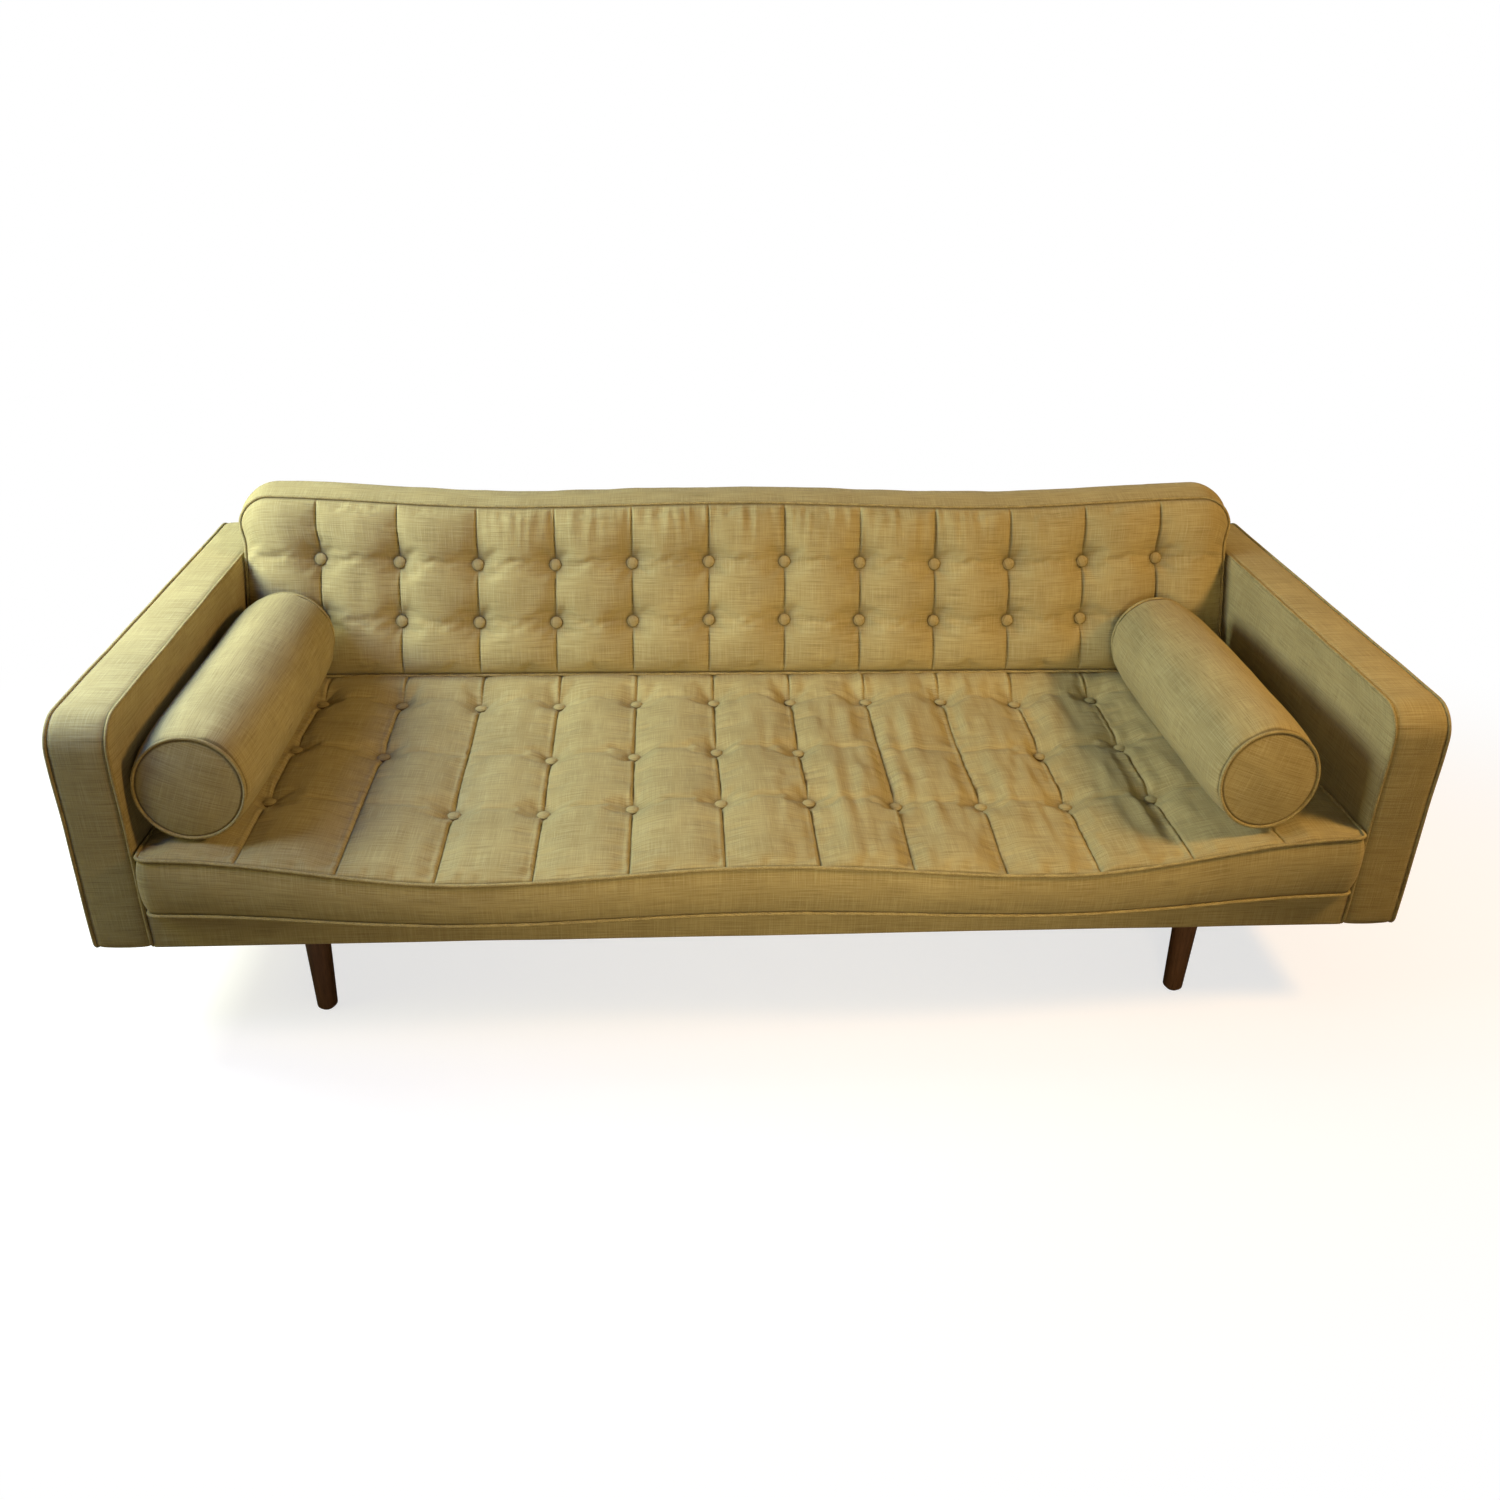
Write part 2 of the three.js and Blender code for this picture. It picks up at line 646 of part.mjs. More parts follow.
function panelCrown(x, shift) {
  const edges = [-cushionHalf, ...seamPlaces(shift), cushionHalf];
  const k = Math.max(1, edges.findIndex((edge) => edge >= x));
  const share = clamp01((x - edges[k - 1]) / (edges[k] - edges[k - 1]));
  return Math.sin(Math.PI * share) ** panelCrownPower;
}

function cornerInset(x, radius) {
  const over = Math.min(radius, Math.max(0, Math.abs(x) - cushionHalf + radius));
  return radius - Math.sqrt(radius ** 2 - over ** 2);
}

function skinIndex(columnCount, rowCount) {
  const around = [];
  for (let i = 0; i < columnCount - 1; i += 1) around.push([i, 0]);
  for (let j = 0; j < rowCount - 1; j += 1) around.push([columnCount - 1, j]);
  for (let i = columnCount - 1; i > 0; i -= 1) around.push([i, rowCount - 1]);
  for (let j = rowCount - 1; j > 0; j -= 1) around.push([0, j]);
  return around;
}

function boxedCushion(columns, rowCount, facePoint, ringsFrom) {
  const columnCount = columns.length;
  const points = [];
  for (let j = 0; j < rowCount; j += 1) {
    for (const x of columns) points.push(facePoint(x, j));
  }
  const faceAt = (i, j) => j * columnCount + i;
  const triangles = [];
  for (let j = 0; j < rowCount - 1; j += 1) {
    for (let i = 0; i < columnCount - 1; i += 1) {
      triangles.push([faceAt(i, j), faceAt(i + 1, j), faceAt(i + 1, j + 1)]);
      triangles.push([faceAt(i, j), faceAt(i + 1, j + 1), faceAt(i, j + 1)]);
    }
  }
  const around = skinIndex(columnCount, rowCount).map(([i, j]) => faceAt(i, j));
  const edge = around.map((index) => points[index]);
  const rings = ringsFrom(edge);
  let upper = around;
  for (const ring of rings) {
    const lower = ring.map((_, k) => points.length + k);
    points.push(...ring);
    upper.forEach((index, k) => {
      const next = (k + 1) % upper.length;
      triangles.push([index, lower[k], lower[next]]);
      triangles.push([index, lower[next], upper[next]]);
    });
    upper = lower;
  }

  // The plain face: strips from edge to edge, and a fan along each end
  const last = columnCount - 1;
  const rows = rowCount - 1;
  const near = (i) => upper[i];
  const far = (i) => upper[2 * last + rows - i];
  const rightEnd = (j) => upper[last + j];
  const leftEnd = (j) => upper[(2 * last + 2 * rows - j) % upper.length];
  for (let i = 1; i < last - 1; i += 1) {
    triangles.push([near(i), far(i), far(i + 1)]);
    triangles.push([near(i), far(i + 1), near(i + 1)]);
  }
  for (let j = 0; j < rows; j += 1) {
    triangles.push([near(1), leftEnd(j), leftEnd(j + 1)]);
    triangles.push([near(last - 1), rightEnd(j + 1), rightEnd(j)]);
  }
  triangles.push([near(1), far(0), far(1)]);
  triangles.push([near(last - 1), far(last - 1), far(last)]);
  return { geometry: meshOf(points, triangles), edge, rings };
}

// A button is a low covered dome; it stands along the given direction
function withButtons(cushion, places, direction) {
  const profile = [
    [0, -buttonRoot],
    [buttonRadius, -buttonRoot],
    [buttonRadius, buttonRim],
    [0, buttonRim + buttonDome],
  ];
  const upright = new THREE.Vector3(0, 0, 1);
  const turn = new THREE.Quaternion().setFromUnitVectors(upright, direction);
  let solid = solidOf(cushion);
  for (const place of places) {
    const button = turned(profile, buttonSegments).applyQuaternion(turn);
    solid = solid.add(solidOf(button.translate(place.x, place.y, place.z)));
  }
  return geometryOf(solid);
}

// Seat cushion
const seatFrontY = armFrontY - seatOverhang;
const seatRearY = insideBackY(deckZ) - fit - cushionWeltReach;
const seatFloorZ = deckZ + fit;
const seatLowSeamZ = seatFloorZ + cushionWeltRadius;
const seatRearSeamZ = seatShelfHeight - fit - cushionWeltRadius;
const seatDepthAt = (share) => armFrontY + share * (seatRearY - armFrontY);
const seatButtonRows = seatRowShares.map(seatDepthAt);
const seatRollY = armFrontY + seatRollDepth;
const seatShelfY = seatDepthAt(seatShelfShare);
const seatPlateau = seatShelfHeight + seatPlateauRise;
const seatLevelPlaces = [seatRollY, ...seatButtonRows, seatShelfY];

// How far a place across the sofa is pressed by a sitter, from 0 to 1
function pressed(x) {
  const from = Math.abs(x);
  if (from > seatSitterOffset) {
    return 1 - easeInOut((from - seatSitterOffset) / (cushionHalf - seatSitterOffset));
  }
  return seatCentreShare + (1 - seatCentreShare) * easeInOut(from / seatSitterOffset);
}

function eased(places, shares, y) {
  const k = places.findIndex((place) => place > y);
  if (k === 0) return shares[0];
  if (k < 0) return shares[shares.length - 1];
  const share = easeInOut((y - places[k - 1]) / (places[k] - places[k - 1]));
  return shares[k - 1] + share * (shares[k] - shares[k - 1]);
}

const seatFrontEdgeY = (x) => seatFrontY - seatBulge * pressed(x) + cornerInset(x, seatCornerRadius);
const seatRearEdgeY = (x) => seatRearY - cornerInset(x, seatCornerRadius);
const seatSeams = seamPlaces(seatPanelShift);
const seatButtonPlan = seatButtonRows.flatMap((y, row) =>
  seatSeams
    .filter((_, channel) => !seatLostButtons.some(([r, c]) => r === row && c === channel))
    .map((x) => ({ x, y })),
);

function drawnIn(places, x, y) {
  return places.reduce(
    (most, place) => Math.max(most, Math.exp(-((x - place.x) ** 2 + (y - place.y) ** 2) / tuftReach ** 2)),
    0,
  );
}

function seatHeight(x, y) {
  const share = (y - seatFrontEdgeY(x)) / (seatRearEdgeY(x) - seatFrontEdgeY(x));
  const frontZ = seatFrontHeight - seatSag * pressed(x);
  const edgeZ = frontZ + clamp01(share) * (seatRearSeamZ - frontZ);
  const onShelf = easeInOut((y - seatButtonRows[2]) / (seatShelfY - seatButtonRows[2]));
  const level = seatPlateau + onShelf * (seatShelfHeight - seatPlateau);
  const hollow = seatHollow * eased(seatLevelPlaces, seatLevelShares, y);
  const sag = seatSag * eased(seatLevelPlaces, seatSagShares, y) * pressed(x);
  const nearRow = Math.min(...seatButtonRows.map((row) => Math.abs(y - row)));
  const crease = 1 - creaseShare * Math.exp(-((nearRow / creaseReach) ** 2));
  const crown = seatPanelCrown * panelCrown(x, seatPanelShift) * crease * (1 - onShelf);
  const inner = level - hollow - sag + crown - seatTuft * drawnIn(seatButtonPlan, x, y);
  const fromEnd = roundRise((cushionHalf - Math.abs(x)) / seatEdgeRoll);
  const toEdge = Math.min(y - seatFrontEdgeY(x), seatRearEdgeY(x) - y);
  return edgeZ + fromEnd * roundRise(toEdge / seatEdgeRoll) * (inner - edgeZ);
}

const seatColumns = skinColumns(seatPanelShift, seatCornerRadius);
const seatMiddles = seatButtonRows.slice(1).map((y, k) => (y + seatButtonRows[k]) / 2);
const seatInnerRows = [
  seatRollY,
  seatButtonRows[0],
  seatMiddles[0],
  seatButtonRows[1],
  seatMiddles[1],
  seatButtonRows[2],
  seatShelfY,
];
const seatRowCount = seatInnerRows.length + 2;

function seatPoint(x, j) {
  const frontMost = j === 0;
  const rearMost = j === seatRowCount - 1;
  const y = frontMost ? seatFrontEdgeY(x) : rearMost ? seatRearEdgeY(x) : seatInnerRows[j - 1];
  return new THREE.Vector3(x, y, seatHeight(x, y));
}

function addSeatCushion() {
  const up = new THREE.Vector3(0, 0, 1);
  const ringsFrom = (edge) => {
    const lowEdge = edge.map((point) => {
      const hangs = point.y < armFrontY ? seatLipSag * pressed(point.x) : 0;
      return new THREE.Vector3(point.x, point.y, seatLowSeamZ - hangs);
    });
    const middle = edge.map((point, k) => point.clone().lerp(lowEdge[k], 1 / 2));
    const drawn = movedOut(middle, up, -boxingDrawIn);
    const under = movedOut(lowEdge, up, -seatUnderInset).map((point) => {
      const y = Math.max(point.y, armFrontY - fit);
      return new THREE.Vector3(point.x, y, seatFloorZ);
    });
    return [drawn, lowEdge, under];
  };
  const { geometry, edge, rings } = boxedCushion(seatColumns, seatRowCount, seatPoint, ringsFrom);
  const places = seatButtonPlan.map(({ x, y }) => new THREE.Vector3(x, y, seatHeight(x, y)));
  addPiece("seat_cushion", withButtons(geometry, places, up), linen);
  for (const [level, loop] of [["top", edge], ["bottom", rings[1]]]) {
    const path = movedOut(withoutStraightRuns(loop), up, cushionWeltStand);
    addPiece(`seat_welt_${level}`, piping(path, up, cushionWeltRadius), linenPiping);
  }
}

// Back cushion
const backFootZ = seatShelfHeight + fit + cushionWeltReach;
const backFootY = insideBackY(backFootZ) - backFootThickness;
const backHeadY = insideBackY(backHeadHeight) - backHeadThickness;
const backSlope = (backHeadY - backFootY) / (backHeadHeight - backFootZ);
const backLean = Math.atan(backSlope);
const backFrontY = (z) => backFootY + backSlope * (z - backFootZ);
const backRearY = (z) => insideBackY(z) - fit * rakeStretch;
const backOut = new THREE.Vector3(0, -Math.cos(backLean), Math.sin(backLean));
const backTopZ = (x) => backHeadHeight - backHeadSag * pressed(x);
const backTopEdgeZ = (x) => backTopZ(x) - cornerInset(x, backCornerRadius);
const backFootEdgeZ = (x) => backFootZ + cornerInset(x, backFootRadius);

const backRowHeights = backRowShares.map((share) => backFootZ + share * (backHeadHeight - backFootZ));
const backRowZ = (x) => backRowHeights.map((row, k) => row + backRowLifts[k] * (1 - pressed(x)));
const backButtonPlan = seamPlaces(0).flatMap((x) => backRowZ(x).map((y) => ({ x, y })));
const aboveArms = (z) => easeInOut((z - armHeight - 2 * cushionWeltReach) / backSwellHeight);

function backProud(x, z) {
  const nearRow = Math.min(...backRowZ(x).map((row) => Math.abs(z - row)));
  const crease = 1 - creaseShare * Math.exp(-((nearRow / creaseReach) ** 2));
  const crown = backPanelCrown * panelCrown(x, 0) * crease;
  const inner = backSeamRise + crown - backTuft * drawnIn(backButtonPlan, x, z);
  const toEdge = Math.min(z - backFootEdgeZ(x), backTopEdgeZ(x) - z);
  const fromEnd = roundRise((cushionHalf - Math.abs(x)) / backEdgeRoll);
  return fromEnd * roundRise(toEdge / backEdgeRoll) * inner;
}

function backSurface(x, z) {
  const towardsEnd = (Math.abs(x) / cushionHalf) ** backSwellPower;
  const spread = 1 + (backArmSwell / cushionHalf) * aboveArms(z) * towardsEnd;
  return new THREE.Vector3(x * spread, backFrontY(z), z).addScaledVector(backOut, backProud(x, z));
}

const backRowCount = backLowShares.length + backHighShares.length + backRowHeights.length + 3;

function backPoint(x, j) {
  const foot = backFootEdgeZ(x);
  const head = backTopEdgeZ(x);
  const [low, high] = backRowZ(x);
  const heights = [
    foot,
    ...backLowShares.map((share) => foot + share * (low - foot)),
    low,
    (low + high) / 2,
    high,
    ...backHighShares.map((share) => high + share * (head - high)),
    head,
  ];
  return backSurface(x, heights[j]);
}

function addBackCushion() {
  // Each place on the front edge has its partner on the rear edge, which lies on the rake
  const rearPartner = ({ x, z }) => {
    const share = (z - backFootZ) / (backTopZ(x) - backFootZ);
    const rearZ = z - share * backHeadFall;
    return new THREE.Vector3(x, backRearY(rearZ) - cushionWeltStand * rakeStretch, rearZ);
  };
  const ringsFrom = (edge) => {
    const rear = edge.map(rearPartner);
    const boxing = backBoxingShares.map((share) => {
      const between = edge.map((point, k) => point.clone().lerp(rear[k], share));
      const swollen = corners(between, backOut).map(({ point, side }) => {
        const free = Math.max(side.z, aboveArms(point.z));
        const resting = Math.max(0, -side.z);
        const crown = backArmCrown + free * (backCrown - backArmCrown) + resting * cushionWeltReach;
        return point.clone().addScaledVector(side, Math.sin(Math.PI * share) ** 2 * crown);
      });
      return swollen.map(({ x, y, z }) => new THREE.Vector3(x, y, Math.max(z, seatShelfHeight + fit)));
    });
    const face = movedOut(rear, backOut, -backRearInset).map(
      ({ x, z }) => new THREE.Vector3(x, backRearY(z), z),
    );
    return [...boxing, rear, face];
  };
  const columns = skinColumns(0, backCornerRadius);
  const { geometry, edge, rings } = boxedCushion(columns, backRowCount, backPoint, ringsFrom);
  const places = backButtonPlan.map(({ x, y }) => backSurface(x, y));
  addPiece("back_cushion", withButtons(geometry, places, backOut), linen);
  for (const [level, loop] of [["front", edge], ["rear", rings[backBoxingShares.length]]]) {
    const path = movedOut(withoutStraightRuns(loop), backOut, cushionWeltStand);
    addPiece(`back_welt_${level}`, piping(path, backOut, cushionWeltRadius), linenPiping);
  }
}

// Height of the seat's skin between its columns and rows
function skinHeight(x, y) {
  const rows = [seatFrontEdgeY(x), ...seatInnerRows, seatRearEdgeY(x)];
  const i = Math.max(1, seatColumns.findIndex((column) => column >= x));
  const j = Math.max(1, rows.findIndex((row) => row >= y));
  const [x0, x1] = [seatColumns[i - 1], seatColumns[i]];
  const [y0, y1] = [rows[j - 1], rows[j]];
  const [u, v] = [(x - x0) / (x1 - x0), (y - y0) / (y1 - y0)];
  const [a, b] = [seatHeight(x0, y0), seatHeight(x1, y0)];
  const [c, d] = [seatHeight(x0, y1), seatHeight(x1, y1)];
  return u > v ? a + u * (b - a) + v * (d - b) : a + v * (c - a) + u * (d - c);
}

// Bolsters: stuffed rolls with piped, slightly domed ends, lying on the seat's panels
const bolsterWeltInset = bolsterEdgeBevel / 2 - (armWeltRadius + 2 * fit) / Math.SQRT2;

function bolsterProfile() {
  const half = bolsterLength / 2;
  const dome = bolsterDomeShare * bolsterEndRadius;
  const swell = bolsterSwellShares.map((share) => [
    bolsterEndRadius + roundRise(share) * (bolsterRadius - bolsterEndRadius),
    half - bolsterEdgeBevel - share * (bolsterSwell - bolsterEdgeBevel),
  ]);
  const rear = [
    [0, half + bolsterEndCrown],
    [dome, half + bolsterEndCrown / 2],
    [bolsterEndRadius - bolsterEdgeBevel, half],
    [bolsterEndRadius, half - bolsterEdgeBevel],
    ...swell,
  ];
  return [...rear.map(([radius, along]) => [radius, -along]), ...rear.reverse()];
}

// The soft ends lean, most at the piping and not at all in the middle
function leaned(point, { skew, slant }) {
  const end = (point.y / bolsterLength) * 2;
  return point.clone().setY(point.y + end ** 2 * (skew * point.x + slant * point.z));
}

// How high the middle of a bolster lies when it rests on the seat's skin
function bolsterRest(place, lean) {
  const steps = 40; // between two points of the profile
  const sides = 90;
  const profile = bolsterProfile();
  const weltRise = armWeltRadius - bolsterWeltInset;
  let rest = -Infinity;
  for (let k = 1; k < profile.length; k += 1) {
    for (let s = 0; s <= steps; s += 1) {
      const share = s / steps;
      const radius = profile[k - 1][0] + share * (profile[k][0] - profile[k - 1][0]) + weltRise;
      const along = profile[k - 1][1] + share * (profile[k][1] - profile[k - 1][1]);
      for (let a = 0; a < sides; a += 1) {
        const angle = Math.PI * (1 + a / sides);
        const round = new THREE.Vector3(radius * Math.cos(angle), along, radius * Math.sin(angle));
        const point = leaned(round, lean).applyEuler(place.rotation).add(place.position);
        if (Math.abs(point.x) < cushionHalf) rest = Math.max(rest, skinHeight(point.x, point.y) - point.z);
      }
    }
  }
  return rest + fit - weltRise;
}

function addBolster(side, sign) {
  const { frontDepth, armGap, turn, dip, ...lean } = bolsterPlaces[side];
  const half = bolsterLength / 2;
  const profile = bolsterProfile().map(([radius, along]) => new THREE.Vector2(radius, along));
  const roll = new THREE.LatheGeometry(profile, bolsterSegments);
  const spots = roll.attributes.position;
  for (let k = 0; k < spots.count; k += 1) {
    const spot = leaned(new THREE.Vector3().fromBufferAttribute(spots, k), lean);
    spots.setXYZ(k, spot.x, spot.y, spot.z);
  }
  const axis = new THREE.Vector3(-lean.skew, 1, -lean.slant).normalize();
  const ring = (y) =>
    Array.from({ length: bolsterSegments }, (_, k) => {
      const around = (2 * Math.PI * k) / bolsterSegments;
      const radius = bolsterEndRadius - bolsterWeltInset;
      const spot = new THREE.Vector3(radius * Math.cos(around), y, -radius * Math.sin(around));
      return leaned(spot, lean);
    });
  const place = new THREE.Group();
  const awayX = armInnerX - armWeltReach - armGap - bolsterRadius;
  place.position.set(sign * awayX, armFrontY + frontDepth + half, 0);
  place.rotation.set(-THREE.MathUtils.degToRad(dip), 0, THREE.MathUtils.degToRad(turn), "ZXY");
  place.position.z = bolsterRest(place, lean);
  addPiece(`bolster_${side}`, roll, linen, place);
  for (const [end, at] of [["front", bolsterWeltInset - half], ["rear", half - bolsterWeltInset]]) {
    const welt = piping(ring(at), axis, armWeltRadius);
    addPiece(`bolster_welt_${side}_${end}`, welt, linenPiping, place);
  }
  sofa.add(place);
}

addBase();
addArm("left", -1);
addArm("right", 1);
addBack();
legPlaces.forEach(addLeg);
addSeatCushion();
addBackCushion();
addBolster("left", -1);
addBolster("right", 1);

export default sofa;
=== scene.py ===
import json
import math

import bpy
import numpy as np
from mathutils import Matrix, Vector


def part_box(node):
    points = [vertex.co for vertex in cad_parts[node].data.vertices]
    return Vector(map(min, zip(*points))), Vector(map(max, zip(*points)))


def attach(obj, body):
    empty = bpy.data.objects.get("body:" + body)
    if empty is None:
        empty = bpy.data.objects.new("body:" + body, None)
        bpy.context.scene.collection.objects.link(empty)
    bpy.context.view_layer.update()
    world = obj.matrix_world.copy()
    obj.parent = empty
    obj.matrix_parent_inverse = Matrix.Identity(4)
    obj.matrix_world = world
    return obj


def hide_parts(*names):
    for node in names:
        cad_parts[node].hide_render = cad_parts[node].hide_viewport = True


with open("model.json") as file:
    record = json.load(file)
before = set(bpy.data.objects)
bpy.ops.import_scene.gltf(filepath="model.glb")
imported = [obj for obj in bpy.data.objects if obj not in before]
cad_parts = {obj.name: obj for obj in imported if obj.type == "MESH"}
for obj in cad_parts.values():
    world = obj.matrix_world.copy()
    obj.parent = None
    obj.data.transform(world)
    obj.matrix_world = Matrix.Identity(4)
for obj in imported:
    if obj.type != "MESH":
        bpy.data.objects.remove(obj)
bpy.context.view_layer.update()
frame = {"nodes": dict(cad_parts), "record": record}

# The camera stands in front of the sofa, a little to the left and well above it, and looks
# down at the seat.
CAMERA_PLACE = Vector((-0.1553, -2.1994, 1.5704))
CAMERA_PITCH = 0.4589
CAMERA_YAW = 0.0684
CAMERA_ROLL = 0.0235
FOCAL_PIXELS = 1270.7
CENTRE_ROW = 672.9
PHOTO_PIXELS = 1500
SENSOR = 36.0
VIEW_REACH = 200


def added(name, data):
    """A new object in the scene."""
    made = bpy.data.objects.new(name, data)
    bpy.context.scene.collection.objects.link(made)
    return made


ahead = Vector((
    math.sin(CAMERA_YAW) * math.cos(CAMERA_PITCH),
    math.cos(CAMERA_YAW) * math.cos(CAMERA_PITCH),
    -math.sin(CAMERA_PITCH),
))
level = Vector((math.cos(CAMERA_YAW), -math.sin(CAMERA_YAW), 0))
above = level.cross(ahead)
right = level * math.cos(CAMERA_ROLL) + above * math.sin(CAMERA_ROLL)
above = right.cross(ahead)
lens = bpy.data.cameras.new("camera")
lens.sensor_width = SENSOR
lens.lens = FOCAL_PIXELS * SENSOR / PHOTO_PIXELS
lens.shift_y = (CENTRE_ROW - PHOTO_PIXELS / 2) / PHOTO_PIXELS
lens.clip_end = VIEW_REACH
camera = added("camera", lens)
camera.matrix_world = Matrix((right, above, -ahead)).transposed().to_4x4()
camera.location = CAMERA_PLACE
bpy.context.scene.camera = camera
bpy.context.scene.view_settings.view_transform = "Standard"

# Studio light: soft panels on the left like a window, a weak bluish one among them, a warm one
# over the right arm, one behind, and a narrow warm one in front that keeps off the arms.
SEAT_MIDDLE = Vector((0.1, 0.0, 0.4))
WIDE = 180
NARROW = 58
PANEL_LIGHTS = (
    ("window", (-1.9, 0.1, 1.45), (0.7, 0.7), 38, (0.92, 1.0, 0.84), WIDE),
    ("window_front", (-2.9, -0.9, 1.9), (1.0, 1.0), 37, (1.0, 0.95, 0.46), WIDE),
    ("sky_light", (-1.7, -0.5, 1.6), (0.9, 0.7), 19, (0.05, 0.25, 1.0), WIDE),
    ("lamp", (2.25, -1.0, 2.3), (0.5, 0.5), 52, (1.0, 0.6, 0.23), WIDE),
    ("rear", (0.5, 2.6, 1.9), (1.6, 1.0), 20, (1.0, 0.93, 0.72), WIDE),
    ("front", (0.15, -2.6, 1.1), (0.7, 0.4), 4.0, (1.0, 0.78, 0.48), NARROW),
)
for name, place, size, power, colour, spread in PANEL_LIGHTS:
    lamp = bpy.data.lights.new(name, "AREA")
    lamp.shape = "RECTANGLE"
    lamp.size, lamp.size_y = size
    lamp.energy = power
    lamp.color = colour
    lamp.spread = math.radians(spread)
    holder = added(name, lamp)
    holder.location = place
    holder.rotation_euler = (SEAT_MIDDLE - Vector(place)).to_track_quat("-Z", "Y").to_euler()


class Wire:
    """A value in a material's tree. Sums and products of wires add their own nodes."""

    def __init__(self, tree, socket):
        self.tree, self.socket = tree, socket

    def maths(self, operation, a, b):
        node = self.tree.nodes.new("ShaderNodeMath")
        node.operation = operation
        for socket, value in zip(node.inputs, (a, b)):
            plug(self.tree, socket, value)
        return Wire(self.tree, node.outputs[0])

    def __add__(self, other):
        return self.maths("ADD", self, other)

    __radd__ = __add__

    def __sub__(self, other):
        return self.maths("SUBTRACT", self, other)

    def __rsub__(self, other):
        return self.maths("SUBTRACT", other, self)

    def __mul__(self, other):
        return self.maths("MULTIPLY", self, other)

    __rmul__ = __mul__


def plug(tree, socket, value):
    if isinstance(value, Wire):
        tree.links.new(value.socket, socket)
    else:
        socket.default_value = value


class Finish:
    """A material that is put together node by node. Its patterns follow the place on the piece,
    or the piece's cloth map."""

    def __init__(self, name, cloth_map=None):
        self.material = bpy.data.materials.new(name)
        self.material.use_nodes = True
        self.tree = self.material.node_tree
        self.tree.nodes.clear()
        if cloth_map:
            self.place = self.make("UVMap", {"uv_map": cloth_map}, {})
        else:
            self.place = self.make("TexCoord", {}, {}, 3)

    def make(self, kind, settings, sockets, output=0):
        node = self.tree.nodes.new("ShaderNode" + kind)
        for key, value in settings.items():
            setattr(node, key, value)
        for key, value in sockets.items():
            plug(self.tree, node.inputs[key], value)
        return Wire(self.tree, node.outputs[output])

    def noise(self, scale, shift, detail, flat=False):
        start = (shift, shift * 1.7, shift * 0.6)
        spread = self.make("Mapping", {}, {"Vector": self.place, "Scale": scale, "Location": start})
        kind = {"noise_dimensions": "2D" if flat else "3D"}
        return self.make("TexNoise", kind, {"Vector": spread, "Scale": 1.0, "Detail": detail})

    def ramp(self, value, low, high):
        settings = {"interpolation_type": "SMOOTHSTEP"}
        return self.make("MapRange", settings, {"Value": value, "From Min": low, "From Max": high})

    def mixed(self, share, first, second):
        return self.make("Mix", {"data_type": "RGBA"}, {0: share, 6: first, 7: second}, 2)

    def done(self, surface):
        out = self.tree.nodes.new("ShaderNodeOutputMaterial")
        self.tree.links.new(surface.socket, out.inputs["Surface"])
        return self.material

    def dressed(self, colour, rough, bump=None, more=None):
        """The finished material. Its bump is a strength, a distance and a height."""
        sockets = {"Base Color": colour, "Roughness": rough, **(more or {})}
        if bump:
            sockets["Normal"] = self.make("Bump", {}, dict(zip(("Strength", "Distance", "Height"), bump)))
        return self.done(self.make("BsdfPrincipled", {}, sockets))


# The floor is a wide white sheet to the camera. It keeps the sofa's soft shadow, is plain white
# far away, and throws only a little light back up at the sofa.
FLOOR_REACH = 60.0
FLOOR_DROP = -0.0005
FLOOR_GREY = (0.42, 0.42, 0.42, 1)
FLOOR_BOUNCE = (0.2, 0.16, 0.12, 1)
FLOOR_GLOW = 0.72
FLOOR_OVAL = (0.5, 1.1, 0)
FLOOR_NEAR = 0.55
FLOOR_FAR = 1.5
WHITE = (1, 1, 1, 1)

corners = [(-FLOOR_REACH, -FLOOR_REACH, 0), (FLOOR_REACH, -FLOOR_REACH, 0),
           (FLOOR_REACH, FLOOR_REACH, 0), (-FLOOR_REACH, FLOOR_REACH, 0)]
floor_mesh = bpy.data.meshes.new("floor")
floor_mesh.from_pydata(corners, [], [(0, 1, 2, 3)])
floor = added("floor", floor_mesh)
floor.location.z = FLOOR_DROP
paper = Finish("floor_paper")
seen = paper.make("LightPath", {}, {})
spot = paper.make("Mapping", {}, {"Vector": paper.place, "Scale": FLOOR_OVAL})
away = paper.ramp(paper.make("VectorMath", {"operation": "LENGTH"}, {0: spot}, 1), FLOOR_NEAR, FLOOR_FAR)
grey = paper.make("BsdfDiffuse", {}, {"Color": FLOOR_GREY})
glow = paper.make("Emission", {}, {"Color": WHITE, "Strength": FLOOR_GLOW})
white = paper.make("Emission", {}, {"Color": WHITE, "Strength": 1.0})
near = paper.make("AddShader", {}, {0: grey, 1: glow})
plain = paper.make("MixShader", {}, {0: away, 1: near, 2: white})
bounce = paper.make("BsdfDiffuse", {}, {"Color": FLOOR_BOUNCE})
floor_mesh.materials.append(paper.done(paper.make("MixShader", {}, {0: seen, 1: bounce, 2: plain})))

